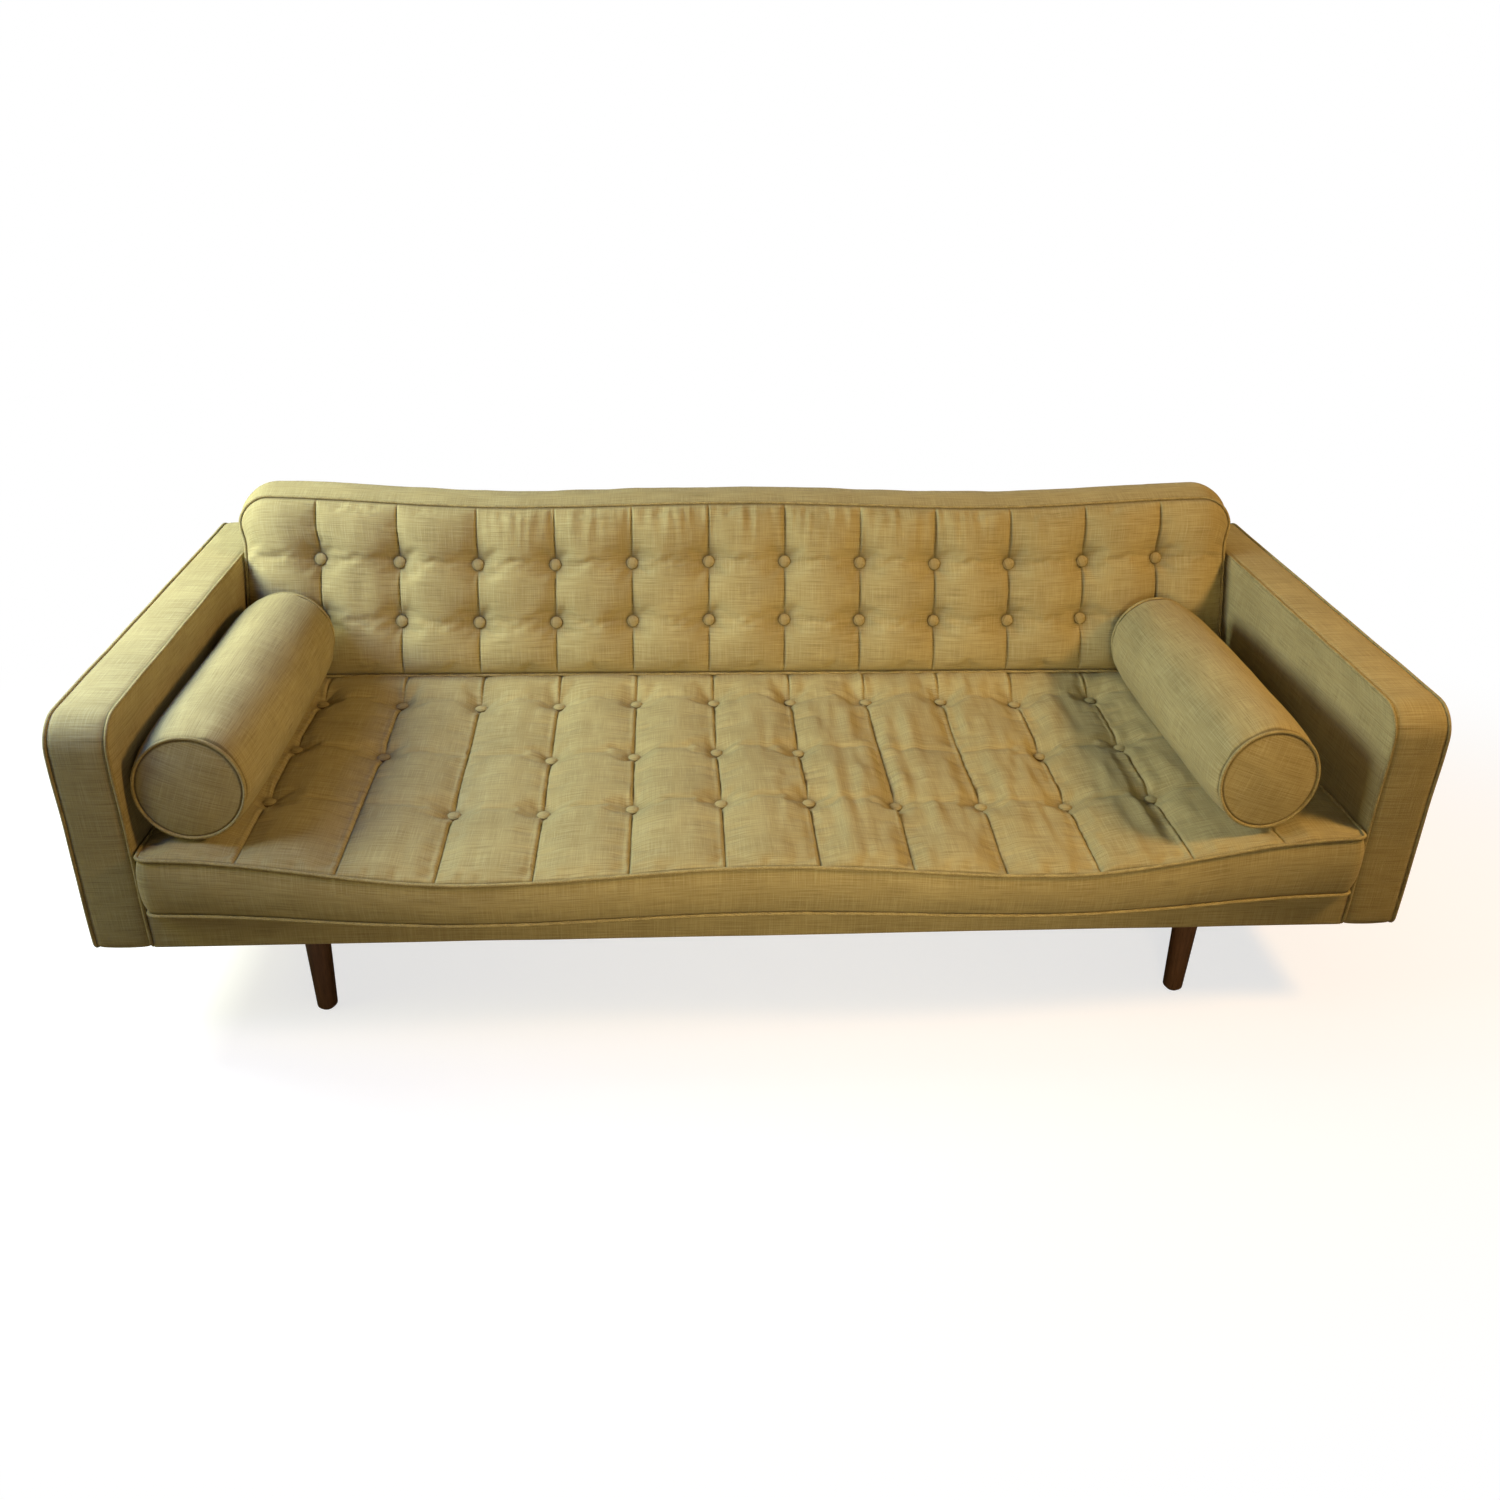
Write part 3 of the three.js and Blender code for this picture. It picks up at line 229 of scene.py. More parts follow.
world = bpy.data.worlds.new("world")
bpy.context.scene.world = world
world.use_nodes = True
SKY_LIGHT = 0.03
sky = world.node_tree
sky.nodes.clear()
path = sky.nodes.new("ShaderNodeLightPath")
strength = sky.nodes.new("ShaderNodeMapRange")
sky.links.new(path.outputs["Is Camera Ray"], strength.inputs["Value"])
strength.inputs["To Min"].default_value = SKY_LIGHT
strength.inputs["To Max"].default_value = 1.0
air = sky.nodes.new("ShaderNodeBackground")
air.inputs["Color"].default_value = WHITE
sky.links.new(strength.outputs[0], air.inputs["Strength"])
sky.links.new(air.outputs[0], sky.nodes.new("ShaderNodeOutputWorld").inputs["Surface"])


# The hidden frame is of planed beech boards, glued, dowelled and screwed, with woven straps
# stapled over the seat and the back. None of it shows while the sofa is in use.
BEECH_DARK = (0.46, 0.27, 0.13, 1)
BEECH_PALE = (0.72, 0.48, 0.27, 1)
BEECH_FLECK = (0.33, 0.17, 0.08, 1)
STRAP_DARK = (0.27, 0.21, 0.13, 1)
STRAP_PALE = (0.42, 0.36, 0.24, 1)


def finish_slot(slot, material):
    """Gives its finish to each piece that is shown as it was built."""
    for part in frame["record"]["subparts"]:
        if part["material_slot"] == slot:
            node = frame["nodes"][part["node"]]
            node.data.materials.clear()
            node.data.materials.append(material)


beech = Finish("planed_beech")
grain = beech.noise((9, 160, 160), 3.1, 3)
flecks = beech.ramp(beech.noise((60, 900, 900), 1.3, 1), 0.62, 0.72)
colour = beech.mixed(flecks * 0.35, beech.mixed(grain, BEECH_DARK, BEECH_PALE), BEECH_FLECK)
finish_slot("beech", beech.dressed(colour, 0.55 + grain * 0.15, (0.15, 0.001, grain)))

strap = Finish("woven_strap")
ribs = strap.noise((700, 700, 700), 2.0, 1)
stripe = strap.ramp(strap.noise((4, 120, 120), 5.0, 1), 0.45, 0.6)
colour = strap.mixed(stripe * 0.5, STRAP_DARK, STRAP_PALE)
finish_slot("webbing", strap.dressed(colour, 0.85 + ribs * 0.1, (0.5, 0.0006, ribs)))

# The lining under the base is a thin black cloth stapled to the rails, with a hole for each
# leg bolt.
LINING_DARK = (0.008, 0.008, 0.008, 1)
LINING_PALE = (0.022, 0.021, 0.02, 1)

lining = Finish("lining_cloth")
threads = lining.noise((1500, 40, 1), 0.7, 1) + lining.noise((40, 1500, 1), 4.2, 1)
colour = lining.mixed(threads * 0.5, LINING_DARK, LINING_PALE)
finish_slot("lining", lining.dressed(colour, 0.8 + threads * 0.08, (0.3, 0.0004, threads)))

# Each leg is a round tapered turning of dark walnut with a satin lacquer, screwed to its
# block by a steel hanger bolt, with a nylon glide under the foot.
LEG_STEPS = 40
LEG_SIDES = 64
FOOT_ROUND = 0.003
FOOT_STEPS = 7
LEG_HEAD_RADIUS = 0.023
LEG_FOOT_RADIUS = 0.0177
WALNUT_DARK = (0.036, 0.0165, 0.008, 1)
WALNUT_PALE = (0.2, 0.1, 0.048, 1)
WALNUT_PORE = (0.012, 0.006, 0.003, 1)
STEEL_DARK = (0.38, 0.38, 0.39, 1)
STEEL_PALE = (0.58, 0.58, 0.6, 1)
NYLON_DARK = (0.016, 0.013, 0.011, 1)
NYLON_PALE = (0.035, 0.03, 0.027, 1)

walnut = Finish("dark_walnut")
wander = walnut.noise((5, 5, 2), 1.9, 2)
grain = walnut.noise((230, 230, 9), 0.4, 4)
pores = walnut.ramp(walnut.noise((1300, 1300, 28), 6.0, 1), 0.56, 0.7)
tone = walnut.mixed(grain * 0.8 + wander * 0.3, WALNUT_DARK, WALNUT_PALE)
colour = walnut.mixed(pores * 0.55, tone, WALNUT_PORE)
WALNUT = walnut.dressed(colour, 0.34 + grain * 0.14, (0.25, 0.0003, 1 - pores), {"Coat Weight": 0.25})

steel = Finish("plain_steel")
marks = steel.noise((90, 90, 1200), 0.0, 2)
colour = steel.mixed(marks, STEEL_DARK, STEEL_PALE)
finish_slot("steel", steel.dressed(colour, 0.28 + marks * 0.2, more={"Metallic": 1.0}))

nylon = Finish("moulded_nylon")
grit = nylon.noise((700, 700, 700), 0.0, 2)
colour = nylon.mixed(grit, NYLON_DARK, NYLON_PALE)
finish_slot("nylon", nylon.dressed(colour, 0.45 + grit * 0.15, (0.2, 0.0002, grit)))


def piece(name, mesh, body, material, stands_for=()):
    made = added(name, mesh)
    if not mesh.materials:
        mesh.materials.append(material)
    mesh.shade_smooth()
    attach(made, body)
    if stands_for:
        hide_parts(*stands_for)
    return made


def end_faces(count, sides):
    """The flat ends of a row of rings."""
    return [tuple(range(sides - 1, -1, -1)), tuple((count - 1) * sides + k for k in range(sides))]


def ring_faces(count, sides):
    """The faces between neighbouring rings."""
    faces = []
    for j in range(count - 1):
        for k in range(sides):
            n = (k + 1) % sides
            faces.append((j * sides + k, j * sides + n, (j + 1) * sides + n, (j + 1) * sides + k))
    return faces


def round_mesh(name, radii, heights, sides, centre):
    """A closed turning about a vertical axis, as rings from the foot to the head."""
    angles = np.arange(sides) * 2 * math.pi / sides
    rings = [
        np.column_stack((r * np.cos(angles), r * np.sin(angles), np.full(sides, h)))
        for r, h in zip(radii, heights)
    ]
    points = np.concatenate(rings) + np.array([centre[0], centre[1], 0])
    mesh = bpy.data.meshes.new(name)
    mesh.from_pydata(points.tolist(), [], end_faces(len(radii), sides) + ring_faces(len(radii), sides))
    return mesh


for corner in ("front_left", "front_right", "rear_left", "rear_right"):
    low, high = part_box("leg_" + corner)
    turn = np.linspace(0, math.pi / 2, FOOT_STEPS)
    radii = list(LEG_FOOT_RADIUS - FOOT_ROUND * (1 - np.sin(turn)))
    heights = list(low.z + FOOT_ROUND * (1 - np.cos(turn)))
    up = np.linspace(0, 1, LEG_STEPS)[1:]
    radii += list(LEG_FOOT_RADIUS + (LEG_HEAD_RADIUS - LEG_FOOT_RADIUS) * up)
    heights += list(low.z + FOOT_ROUND + (high.z - low.z - FOOT_ROUND) * up)
    mesh = round_mesh("turned_leg_" + corner, radii, heights, LEG_SIDES, (low + high) / 2)
    piece("turned_leg_" + corner, mesh, "frame", WALNUT, ["leg_" + corner])


# All the covers are cut from one slubbed linen, woven of two shades of olive and gold yarn.
# Its thick uneven threads run from side to side of the sofa.
CLOTH_DARK = (0.205, 0.164, 0.066, 1)
CLOTH_MID = (0.402, 0.338, 0.15, 1)
CLOTH_LIGHT = (0.55, 0.495, 0.265, 1)
# The next two give the colour and strength of the shade painted into seams, channels, tucks and button
# rims.
CLOTH_PAINTED_SHADE = (0.07, 0.047, 0.016, 1)
PAINTED_SHADE_STRENGTH = 0.8
BUTTON_RADIUS = 0.013
BUTTON_RIM_SHADE_SHARE = 0.8
THREAD_PITCH = 0.0012
THREAD_WANDER = 9.0
LINEN_GLOSS = {
    "Sheen Weight": 0.1, "Sheen Roughness": 0.5, "Sheen Tint": (0.9, 0.85, 0.7, 1),
    "Specular IOR Level": 0.25,
}


def linen_finish(name, rim_shade_start=None):
    """The linen. Its cloth map runs in metres. A crease attribute says where shade is painted into
    seams, channels and tucks, and a button's cloth has shade painted towards its rim."""
    cloth = Finish(name, "cloth")
    if rim_shade_start is None:
        crease = cloth.make("Attribute", {"attribute_name": "crease"}, {}, 2)
    else:
        from_middle = cloth.make("VectorMath", {"operation": "LENGTH"}, {0: cloth.place}, 1)
        crease = cloth.ramp(from_middle, rim_shade_start, BUTTON_RADIUS)
    slubs = cloth.noise((13, 520, 1), 3.3, 2, True)
    streaks = cloth.noise((22, 640, 1), 8.1, 2, True)
    cross = cloth.noise((760, 16, 1), 5.7, 2, True)
    clouds = cloth.noise((7, 10, 1), 9.4, 2, True)
    threads = []
    for axis, uneven in enumerate((cross, slubs)):
        along = cloth.make("SeparateXYZ", {}, {0: cloth.place}, axis)
        wave = along * (2 * math.pi / THREAD_PITCH) + uneven * THREAD_WANDER
        threads.append(cloth.make("Math", {"operation": "SINE"}, {0: wave}))
    dark_slubs = cloth.ramp(slubs, 0.5, 0.3) * 0.4 + cloth.ramp(streaks, 0.46, 0.28) * 0.3
    colour = cloth.mixed(cloth.ramp(clouds, 0.3, 0.7) * 0.24, CLOTH_MID, CLOTH_DARK)
    for share, yarn in (
        (dark_slubs, CLOTH_DARK), (cloth.ramp(slubs, 0.56, 0.74) * 0.3, CLOTH_LIGHT),
        (cloth.ramp(cross, 0.48, 0.3) * 0.22, CLOTH_DARK),
        (cloth.ramp(cross, 0.54, 0.72) * 0.28, CLOTH_LIGHT),
        # Painted shade: seams, channels, tucks and button rims are darkened where shade falls.
        (crease * PAINTED_SHADE_STRENGTH, CLOTH_PAINTED_SHADE),
    ):
        colour = cloth.mixed(share, colour, yarn)
    height = threads[0] * threads[1] * 0.3 + slubs * 1.1 + streaks * 0.5 + cross * 0.8
    return cloth.dressed(colour, 0.84 + cross * 0.14, (0.4, 0.0008, height), LINEN_GLOSS)


LINEN = linen_finish("slub_linen")
# On a button, shade is painted from this share of its radius out to the rim.
BUTTON_LINEN = linen_finish("button_linen", BUTTON_RADIUS * BUTTON_RIM_SHADE_SHARE)

# Each arm is a box of timber under wadding and linen, with piping round its inner and its
# outer edge.
ARM_TOP_RADIUS = 0.05
ARM_FOOT_RADIUS = 0.016
ARM_PANEL_CROWN = 0.004
ARM_PANEL_ROLL = 0.09
ARM_SEAM_DIP = 0.0016
ARM_BAND_CROWN = 0.0035
ARM_WAVES = 0.0012
ARM_ROUGHNESS = 0.0009
ARM_EDGE_DIP = 0.0022
ARM_EDGE_SHARE = 0.05
ARM_SEAM_ROLL = 0.012
ARM_WAVE_SIZE = 0.16
ARM_ROUGH_SIZE = 0.11
ARM_WELT_WAVES = 0.0009
ARM_WELT_WAVE_SIZE = 0.09
ARM_BEND_STEPS = 7
ARM_ROW_STEPS = 22
ARM_COLUMNS = np.concatenate(([0, 0.004, 0.011], np.linspace(0.022, 0.978, 76), [0.989, 0.996, 1]))
ARM_RINGS = np.concatenate(([0.03, 0.075], np.linspace(0.14, 0.86, 12), [0.925, 0.97, 1]))
PIPING_RADIUS = 0.0031
ARM_PIPING_RADIUS = 0.0029
PIPING_STEP = 0.006
PIPING_SIDES = 10
PIPING_PAINTED_SHADE = 0.3
WELT_HALF = 0.0035
SEAM_PAINTED_SHADE = 0.75
BAND_MAP_SHIFT = 0.31
FAR_MAP_SHIFT = 2.7


def drift(places, size, seed):
    """Smooth unevenness from -1 to 1, with hills of about the given size."""
    scaled = np.asarray(places, float) / np.asarray(size)
    whole = np.floor(scaled).astype(np.int64)
    part = scaled - whole
    part = part * part * (3 - 2 * part)
    total = np.zeros(len(scaled))
    axes = scaled.shape[1]
    primes = (73856093, 19349663, 83492791)
    for bits in range(2 ** axes):
        weight = np.ones(len(scaled))
        mixed = np.full(len(scaled), seed * 2654435761 % 4294967296, np.int64)
        for axis in range(axes):
            step = bits >> axis & 1
            weight = weight * (part[:, axis] if step else 1 - part[:, axis])
            mixed = mixed ^ ((whole[:, axis] + step) * primes[axis])
        mixed = (mixed ^ (mixed >> 13)) * 1274126177 & 0x7FFFFFFF
        mixed = (mixed ^ (mixed >> 16)) & 0xFFFF
        total += weight * (mixed / 32767.5 - 1)
    return total


def drift_over(across, along, size, seed):
    """The same for a grid of places."""
    return drift(np.column_stack((across.ravel(), along.ravel())), size, seed).reshape(across.shape)


def rim(rows, columns):
    """The edge of a grid of places, anticlockwise, as (row, column) pairs."""
    around = [(0, i) for i in range(columns - 1)]
    around += [(j, columns - 1) for j in range(rows - 1)]
    around += [(rows - 1, i) for i in range(columns - 1, 0, -1)]
    around += [(j, 0) for j in range(rows - 1, 0, -1)]
    return around


def edge_of(face):
    return np.array([face[j, i] for j, i in rim(*face.shape[:2])])


def lengths_along(points, axis):
    steps = np.linalg.norm(np.diff(points, axis=axis), axis=-1)
    start = np.zeros_like(np.take(steps, [0], axis=axis))
    return np.concatenate((start, np.cumsum(steps, axis=axis)), axis=axis)


def cloth_mesh(name, points, faces, maps, dark=None):
    """A mesh with its cloth map in metres, and the shade painted on its places, from 0 to 1."""
    mesh = bpy.data.meshes.new(name)
    mesh.from_pydata(points.tolist(), [], faces)
    layer = mesh.uv_layers.new(name="cloth")
    layer.data.foreach_set("uv", np.array(maps, np.float32).reshape(-1))
    if dark is not None:
        mesh.attributes.new("crease", "FLOAT", "POINT").data.foreach_set("value", dark)
    return mesh


def boxed_mesh(name, face, rings, far_face=None, painted_shade=None, across_band=False):
    """A closed cover: a panel, a band of rings round its edge, and a far panel. The thick threads
    run along u, which on the band goes round it or across it. Shade painted on the panel comes
    as an argument, and shade is painted along both seams of the band too."""
    rows, columns = face.shape[:2]
    around = rim(rows, columns)
    ring_size = len(around)
    points = [face.reshape(-1, 3)]
    straight_across = lengths_along(face, 1).mean(axis=0)
    straight_along = lengths_along(face, 0).mean(axis=1)
    across = np.tile(straight_across, rows)
    along = np.repeat(straight_along, columns)
    faces, maps = [], []

    def add(corner_indices, corner_maps):
        faces.append(tuple(int(k) for k in corner_indices))
        maps.extend(corner_maps)

    for j in range(rows - 1):
        for i in range(columns - 1):
            a = j * columns + i
            quad = (a, a + 1, a + columns + 1, a + columns)
            add(quad, [(across[k], along[k]) for k in quad])
    edge = np.array([j * columns + i for j, i in around])
    upper, start = edge, rows * columns
    loop_points = points[0][edge]
    round_edge = lengths_along(np.concatenate((loop_points, loop_points[:1])), 0)
    depth = 0.0
    for ring in rings:
        lower = np.arange(start, start + ring_size)
        points.append(ring)
        start += ring_size
        step = float(np.mean(np.linalg.norm(ring - loop_points, axis=1)))
        for k in range(ring_size):
            n = (k + 1) % ring_size
            u0, u1 = round_edge[k] + BAND_MAP_SHIFT, round_edge[k + 1] + BAND_MAP_SHIFT
            corners_map = [(u0, -depth), (u0, -depth - step), (u1, -depth - step), (u1, -depth)]
            if across_band:
                corners_map = [(v, u) for u, v in corners_map]
            add((upper[k], lower[k], lower[n], upper[n]), corners_map)
        depth += step
        upper, loop_points = lower, ring
    if far_face is None:
        last, high = columns - 1, rows - 1
        tip = [(0, 0), (0, 0.1), (0.1, 0)]
        for i in range(1, last - 1):
            quad = (upper[i], upper[2 * last + high - i], upper[2 * last + high - i - 1], upper[i + 1])
            add(quad, [(across[i], 0), (across[i], 1), (across[i + 1], 1), (across[i + 1], 0)])
        for j in range(high):
            left_low, left_high = (ring_size - j) % ring_size, ring_size - j - 1
            add((upper[1], upper[left_low], upper[left_high]), [(0, 0), (0, along[0]), (0.1, 0)])
            add((upper[last - 1], upper[last + j + 1], upper[last + j]), tip)
        add((upper[1], upper[2 * last + high], upper[2 * last + high - 1]), tip)
        add((upper[last - 1], upper[last + high + 1], upper[last + high]), tip)
    else:
        index = np.full((rows, columns), -1)
        for k, (j, i) in enumerate(around):
            index[j, i] = upper[k]
        inner = index < 0
        index[inner] = np.arange(start, start + int(inner.sum()))
        points.append(far_face[inner])
        for j in range(rows - 1):
            for i in range(columns - 1):
                spots = ((j, i), (j + 1, i), (j + 1, i + 1), (j, i + 1))
                places = [r * columns + c for r, c in spots]
                add([index[s] for s in spots], [(across[k] + FAR_MAP_SHIFT, along[k]) for k in places])
    points = np.concatenate(points)
    dark = np.zeros(len(points), np.float32)
    if painted_shade is not None:
        dark[:painted_shade.size] = painted_shade.reshape(-1)
    # Shade is painted along the band's upper seam and, below, along its lower seam.
    dark[edge] = SEAM_PAINTED_SHADE
    last_seam = rows * columns + (len(rings) - (1 if far_face is not None else 2)) * ring_size
    dark[last_seam:last_seam + ring_size] = SEAM_PAINTED_SHADE
    return cloth_mesh(name, points, faces, maps, dark)


def node_tree(name, inputs, result_name, kinds, joins):
    """A Geometry Nodes tree from its named inputs, its nodes and the joins between their
    sockets. It ends by making the shapes real and giving them their cloth."""
    tree = bpy.data.node_groups.new(name, "GeometryNodeTree")
    for label, kind in inputs + (("Cloth", "Material"),):
        tree.interface.new_socket(label, in_out="INPUT", socket_type="NodeSocket" + kind)
    tree.interface.new_socket(result_name, in_out="OUTPUT", socket_type="NodeSocketGeometry")
    kinds += (("real", "RealizeInstances", {}), ("paint", "SetMaterial", {}))
    tree.nodes.new("NodeGroupInput").name = "given"
    tree.nodes.new("NodeGroupOutput").name = "result"
    for label, kind, settings in kinds:
        node = tree.nodes.new("GeometryNode" + kind)
        node.name = label
        for key, value in settings.items():
            setattr(node, key, value)
    joins += (
        ("real", "Geometry", "paint", "Geometry"), ("given", "Cloth", "paint", "Material"),
        ("paint", "Geometry", "result", result_name),
    )
    for start, out_name, end, in_name in joins:
        tree.links.new(tree.nodes[start].outputs[out_name], tree.nodes[end].inputs[in_name])
    return tree


def from_nodes(name, source, tree, values):
    """The plain mesh that a tree makes of a source mesh."""
    holder = added(name, source)
    modifier = holder.modifiers.new(name, "NODES")
    modifier.node_group = tree
    for item in tree.interface.items_tree:
        if item.item_type == "SOCKET" and item.in_out == "INPUT" and item.name in values:
            modifier[item.identifier] = values[item.name]
    bpy.context.view_layer.update()
    ready = holder.evaluated_get(bpy.context.evaluated_depsgraph_get())
    mesh = bpy.data.meshes.new_from_object(ready)
    holder.modifiers.clear()
    bpy.data.objects.remove(holder)
    return mesh


# Piping is a cord in a strip of the same linen, swept along a seam, coloured darker than the cloth
# as painted shade along the seams.
PIPING = node_tree(
    "piping", (("Path", "Geometry"), ("Radius", "Float"), ("Step", "Float"), ("Sides", "Int")), "Piping",
    (("curve", "MeshToCurve", {}), ("even", "ResampleCurve", {"mode": "LENGTH"}),
     ("section", "CurvePrimitiveCircle", {}), ("tube", "CurveToMesh", {})),
    (("given", "Path", "curve", "Mesh"), ("curve", "Curve", "even", "Curve"),
     ("given", "Step", "even", "Length"), ("given", "Radius", "section", "Radius"),
     ("given", "Sides", "section", "Resolution"), ("even", "Curve", "tube", "Curve"),
     ("section", "Curve", "tube", "Profile Curve"), ("tube", "Mesh", "real", "Geometry")),
)

cord = Finish("piping_linen")
slubs = cord.noise((420, 420, 420), 2.2, 3)
patches = cord.noise((60, 60, 60), 6.1, 2)
tone = cord.ramp(slubs * 0.7 + patches * 0.5, 0.4, 0.8)
# The cord's tone runs from a darkened mid to the mid: shade painted into the seams.
colour = cord.mixed(tone, cord.mixed(PIPING_PAINTED_SHADE, CLOTH_DARK, CLOTH_MID), CLOTH_MID)
PIPING_LINEN = cord.dressed(colour, 0.85 + slubs * 0.1, (0.5, 0.0006, slubs), {"Specular IOR Level": 0.25})


def add_piping(name, loop, body, stands_for, radius=PIPING_RADIUS):
    count = len(loop)
    path = bpy.data.meshes.new(name + "_path")
    path.from_pydata(np.asarray(loop).tolist(), [(k, (k + 1) % count) for k in range(count)], [])
    sizes = {"Radius": radius, "Step": PIPING_STEP, "Sides": PIPING_SIDES, "Cloth": PIPING_LINEN}
    mesh = from_nodes(name, path, PIPING, sizes)
    piece(name, mesh, body, PIPING_LINEN, stands_for)


def outward_of(loop, axis):
    """For each place on a closed loop, the level direction that points out of it."""
    along = np.roll(loop, -1, axis=0) - np.roll(loop, 1, axis=0)
    side = np.cross(along, axis)
    return side / np.linalg.norm(side, axis=1)[:, None]


def arm_rows(low, high, foot, top):
    """Heights of a panel's rows, close together where its corners are round."""
    bend = np.linspace(0, math.pi / 2, ARM_BEND_STEPS)
    lower = low + foot * (1 - np.cos(bend))
    upper = high - top * (1 - np.cos(bend[::-1]))
    return np.concatenate((lower, np.linspace(lower[-1], upper[0], ARM_ROW_STEPS)[1:-1], upper))


def arm_reach(z, low, high, foot, top):
    """How far a panel's end is drawn in by its round corners at a height."""
    near_low = np.clip(low + foot - z, 0, foot)
    near_top = np.clip(z - (high - top), 0, top)
    return (foot - np.sqrt(foot**2 - near_low**2)) + (top - np.sqrt(top**2 - near_top**2))


def rounded(distance, roll):
    return np.sqrt(1 - (1 - np.clip(distance / roll, 0, 1)) ** 2)


def add_arm(side, sign):
    low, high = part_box("arm_cover_" + side)
    inner, outer = sorted((abs(low.x), abs(high.x)))
    heights = arm_rows(low.z, high.z, ARM_FOOT_RADIUS, ARM_TOP_RADIUS)
    reach = arm_reach(heights, low.z, high.z, ARM_FOOT_RADIUS, ARM_TOP_RADIUS)
    front, rear = low.y + reach[:, None], high.y - reach[:, None]
    y = front + (rear - front) * ARM_COLUMNS[None, :]
    z = np.repeat(heights[:, None], len(ARM_COLUMNS), axis=1)
    to_edge = np.minimum(np.minimum(y - front, rear - y), np.minimum(z - low.z, high.z - z))
    waves = drift_over(y, z, ARM_WAVE_SIZE, 11 if sign > 0 else 23) * ARM_WAVES
    proud = (ARM_PANEL_CROWN + waves) * rounded(to_edge, ARM_PANEL_ROLL)
    proud = proud - ARM_SEAM_DIP * (1 - rounded(to_edge, ARM_SEAM_ROLL))
    outside = np.dstack((outer + proud, y, z))
    inside = np.dstack((inner - proud, y, z))
    start, end = edge_of(outside), edge_of(inside)
    out = outward_of(start, np.array([1.0, 0, 0]))
    mirror = np.array([sign, 1, 1])
    rings = []
    for share in ARM_RINGS:
        ring = start + (end - start) * share
        crown = ARM_BAND_CROWN * math.sin(math.pi * share) ** 0.5 if share < 1 else 0
        rough = drift(ring[:, [1, 2, 0]], ARM_ROUGH_SIZE, 5) * ARM_ROUGHNESS
        dip = ARM_EDGE_DIP * math.exp(-(min(share, 1 - share) / ARM_EDGE_SHARE) ** 2)
        rings.append((ring + out * (crown + rough * math.sin(math.pi * share) - dip)[:, None]) * mirror)
    mesh = boxed_mesh("arm_" + side, outside * mirror, rings, inside * mirror, across_band=True)
    if sign < 0:
        mesh.flip_normals()
    made = piece("arm_linen_" + side, mesh, "frame", LINEN, ["arm_cover_" + side])
    for label in ("outer", "inner"):
        welt_low, welt_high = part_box(f"arm_{label}_welt_{side}")
        loop = start + out * (low.z - (welt_low.z + WELT_HALF))
        wander = drift(start[:, 1:], ARM_WELT_WAVE_SIZE, 31) * ARM_WELT_WAVES
        loop[:, 0] = (abs(welt_low.x) + abs(welt_high.x)) / 2 + wander
        name = f"arm_{label}_piping_{side}"
        add_piping(name, loop * mirror, "frame", [f"arm_{label}_welt_{side}"], ARM_PIPING_RADIUS)


add_arm("left", -1)
add_arm("right", 1)

# The base is covered in linen: one cloth is drawn up the padded front rail and over it, and a
# padded deck lies behind that under the seat cushion.
RAIL_EDGE = 0.008
RAIL_PADDING = 0.012
DECK_ROUND = 0.004
CLOTH_GAP = 0.0003
SPAN_STEPS = 240
ARC_STEPS = 8
RAIL_UNEVENNESS = 0.0006
DECK_UNEVENNESS = 0.0004
SPAN_WAVE_SIZE = 0.12
RAIL_STEP = 0.012
DECK_STEP = 0.03


def arc(centre, radius, start, end):
    """Places on an arc in the plane of Y and Z, with its angles in degrees."""
    angles = np.radians(np.linspace(start, end, ARC_STEPS + 1))
    return [(centre[0] + radius * math.cos(a), centre[1] + radius * math.sin(a)) for a in angles]


def span_mesh(name, outline, span, unevenness, seed):
    """A closed outline in the plane of Y and Z, drawn out from left to right."""
    loop = np.array(outline)
    stations = np.linspace(span[0], span[1], SPAN_STEPS + 1)
    count = len(loop)
    around = lengths_along(np.concatenate((loop, loop[:1])), 0)
    along = np.roll(loop, -1, axis=0) - np.roll(loop, 1, axis=0)
    out = np.column_stack((along[:, 1], -along[:, 0]))
    out /= np.linalg.norm(out, axis=1)[:, None] + 1e-9
    points, maps = [], []
    for x in stations:
        places = np.column_stack((np.full(count, x), loop))
        wave = drift(places, SPAN_WAVE_SIZE, seed) * unevenness
        points.append(places + np.column_stack((np.zeros(count), out * wave[:, None])))
    for a, b in zip(stations, stations[1:]):
        for u, v in zip(around, around[1:]):
            maps += [(a, u), (a, v), (b, v), (b, u)]
    maps += [tuple(place) for place in loop[::-1]] + [tuple(place) for place in loop]
    faces = ring_faces(SPAN_STEPS + 1, count) + end_faces(SPAN_STEPS + 1, count)
    return cloth_mesh(name, np.concatenate(points), faces, maps)


def stepped(points, step):
    """An outline with extra places on its long straight sides."""
    result = []
    for a, b in zip(points, points[1:] + points[:1]):
        parts = max(1, int(math.dist(a, b) / step))
        result += [tuple(np.add(a, np.subtract(b, a) * k / parts)) for k in range(parts)]
    return result


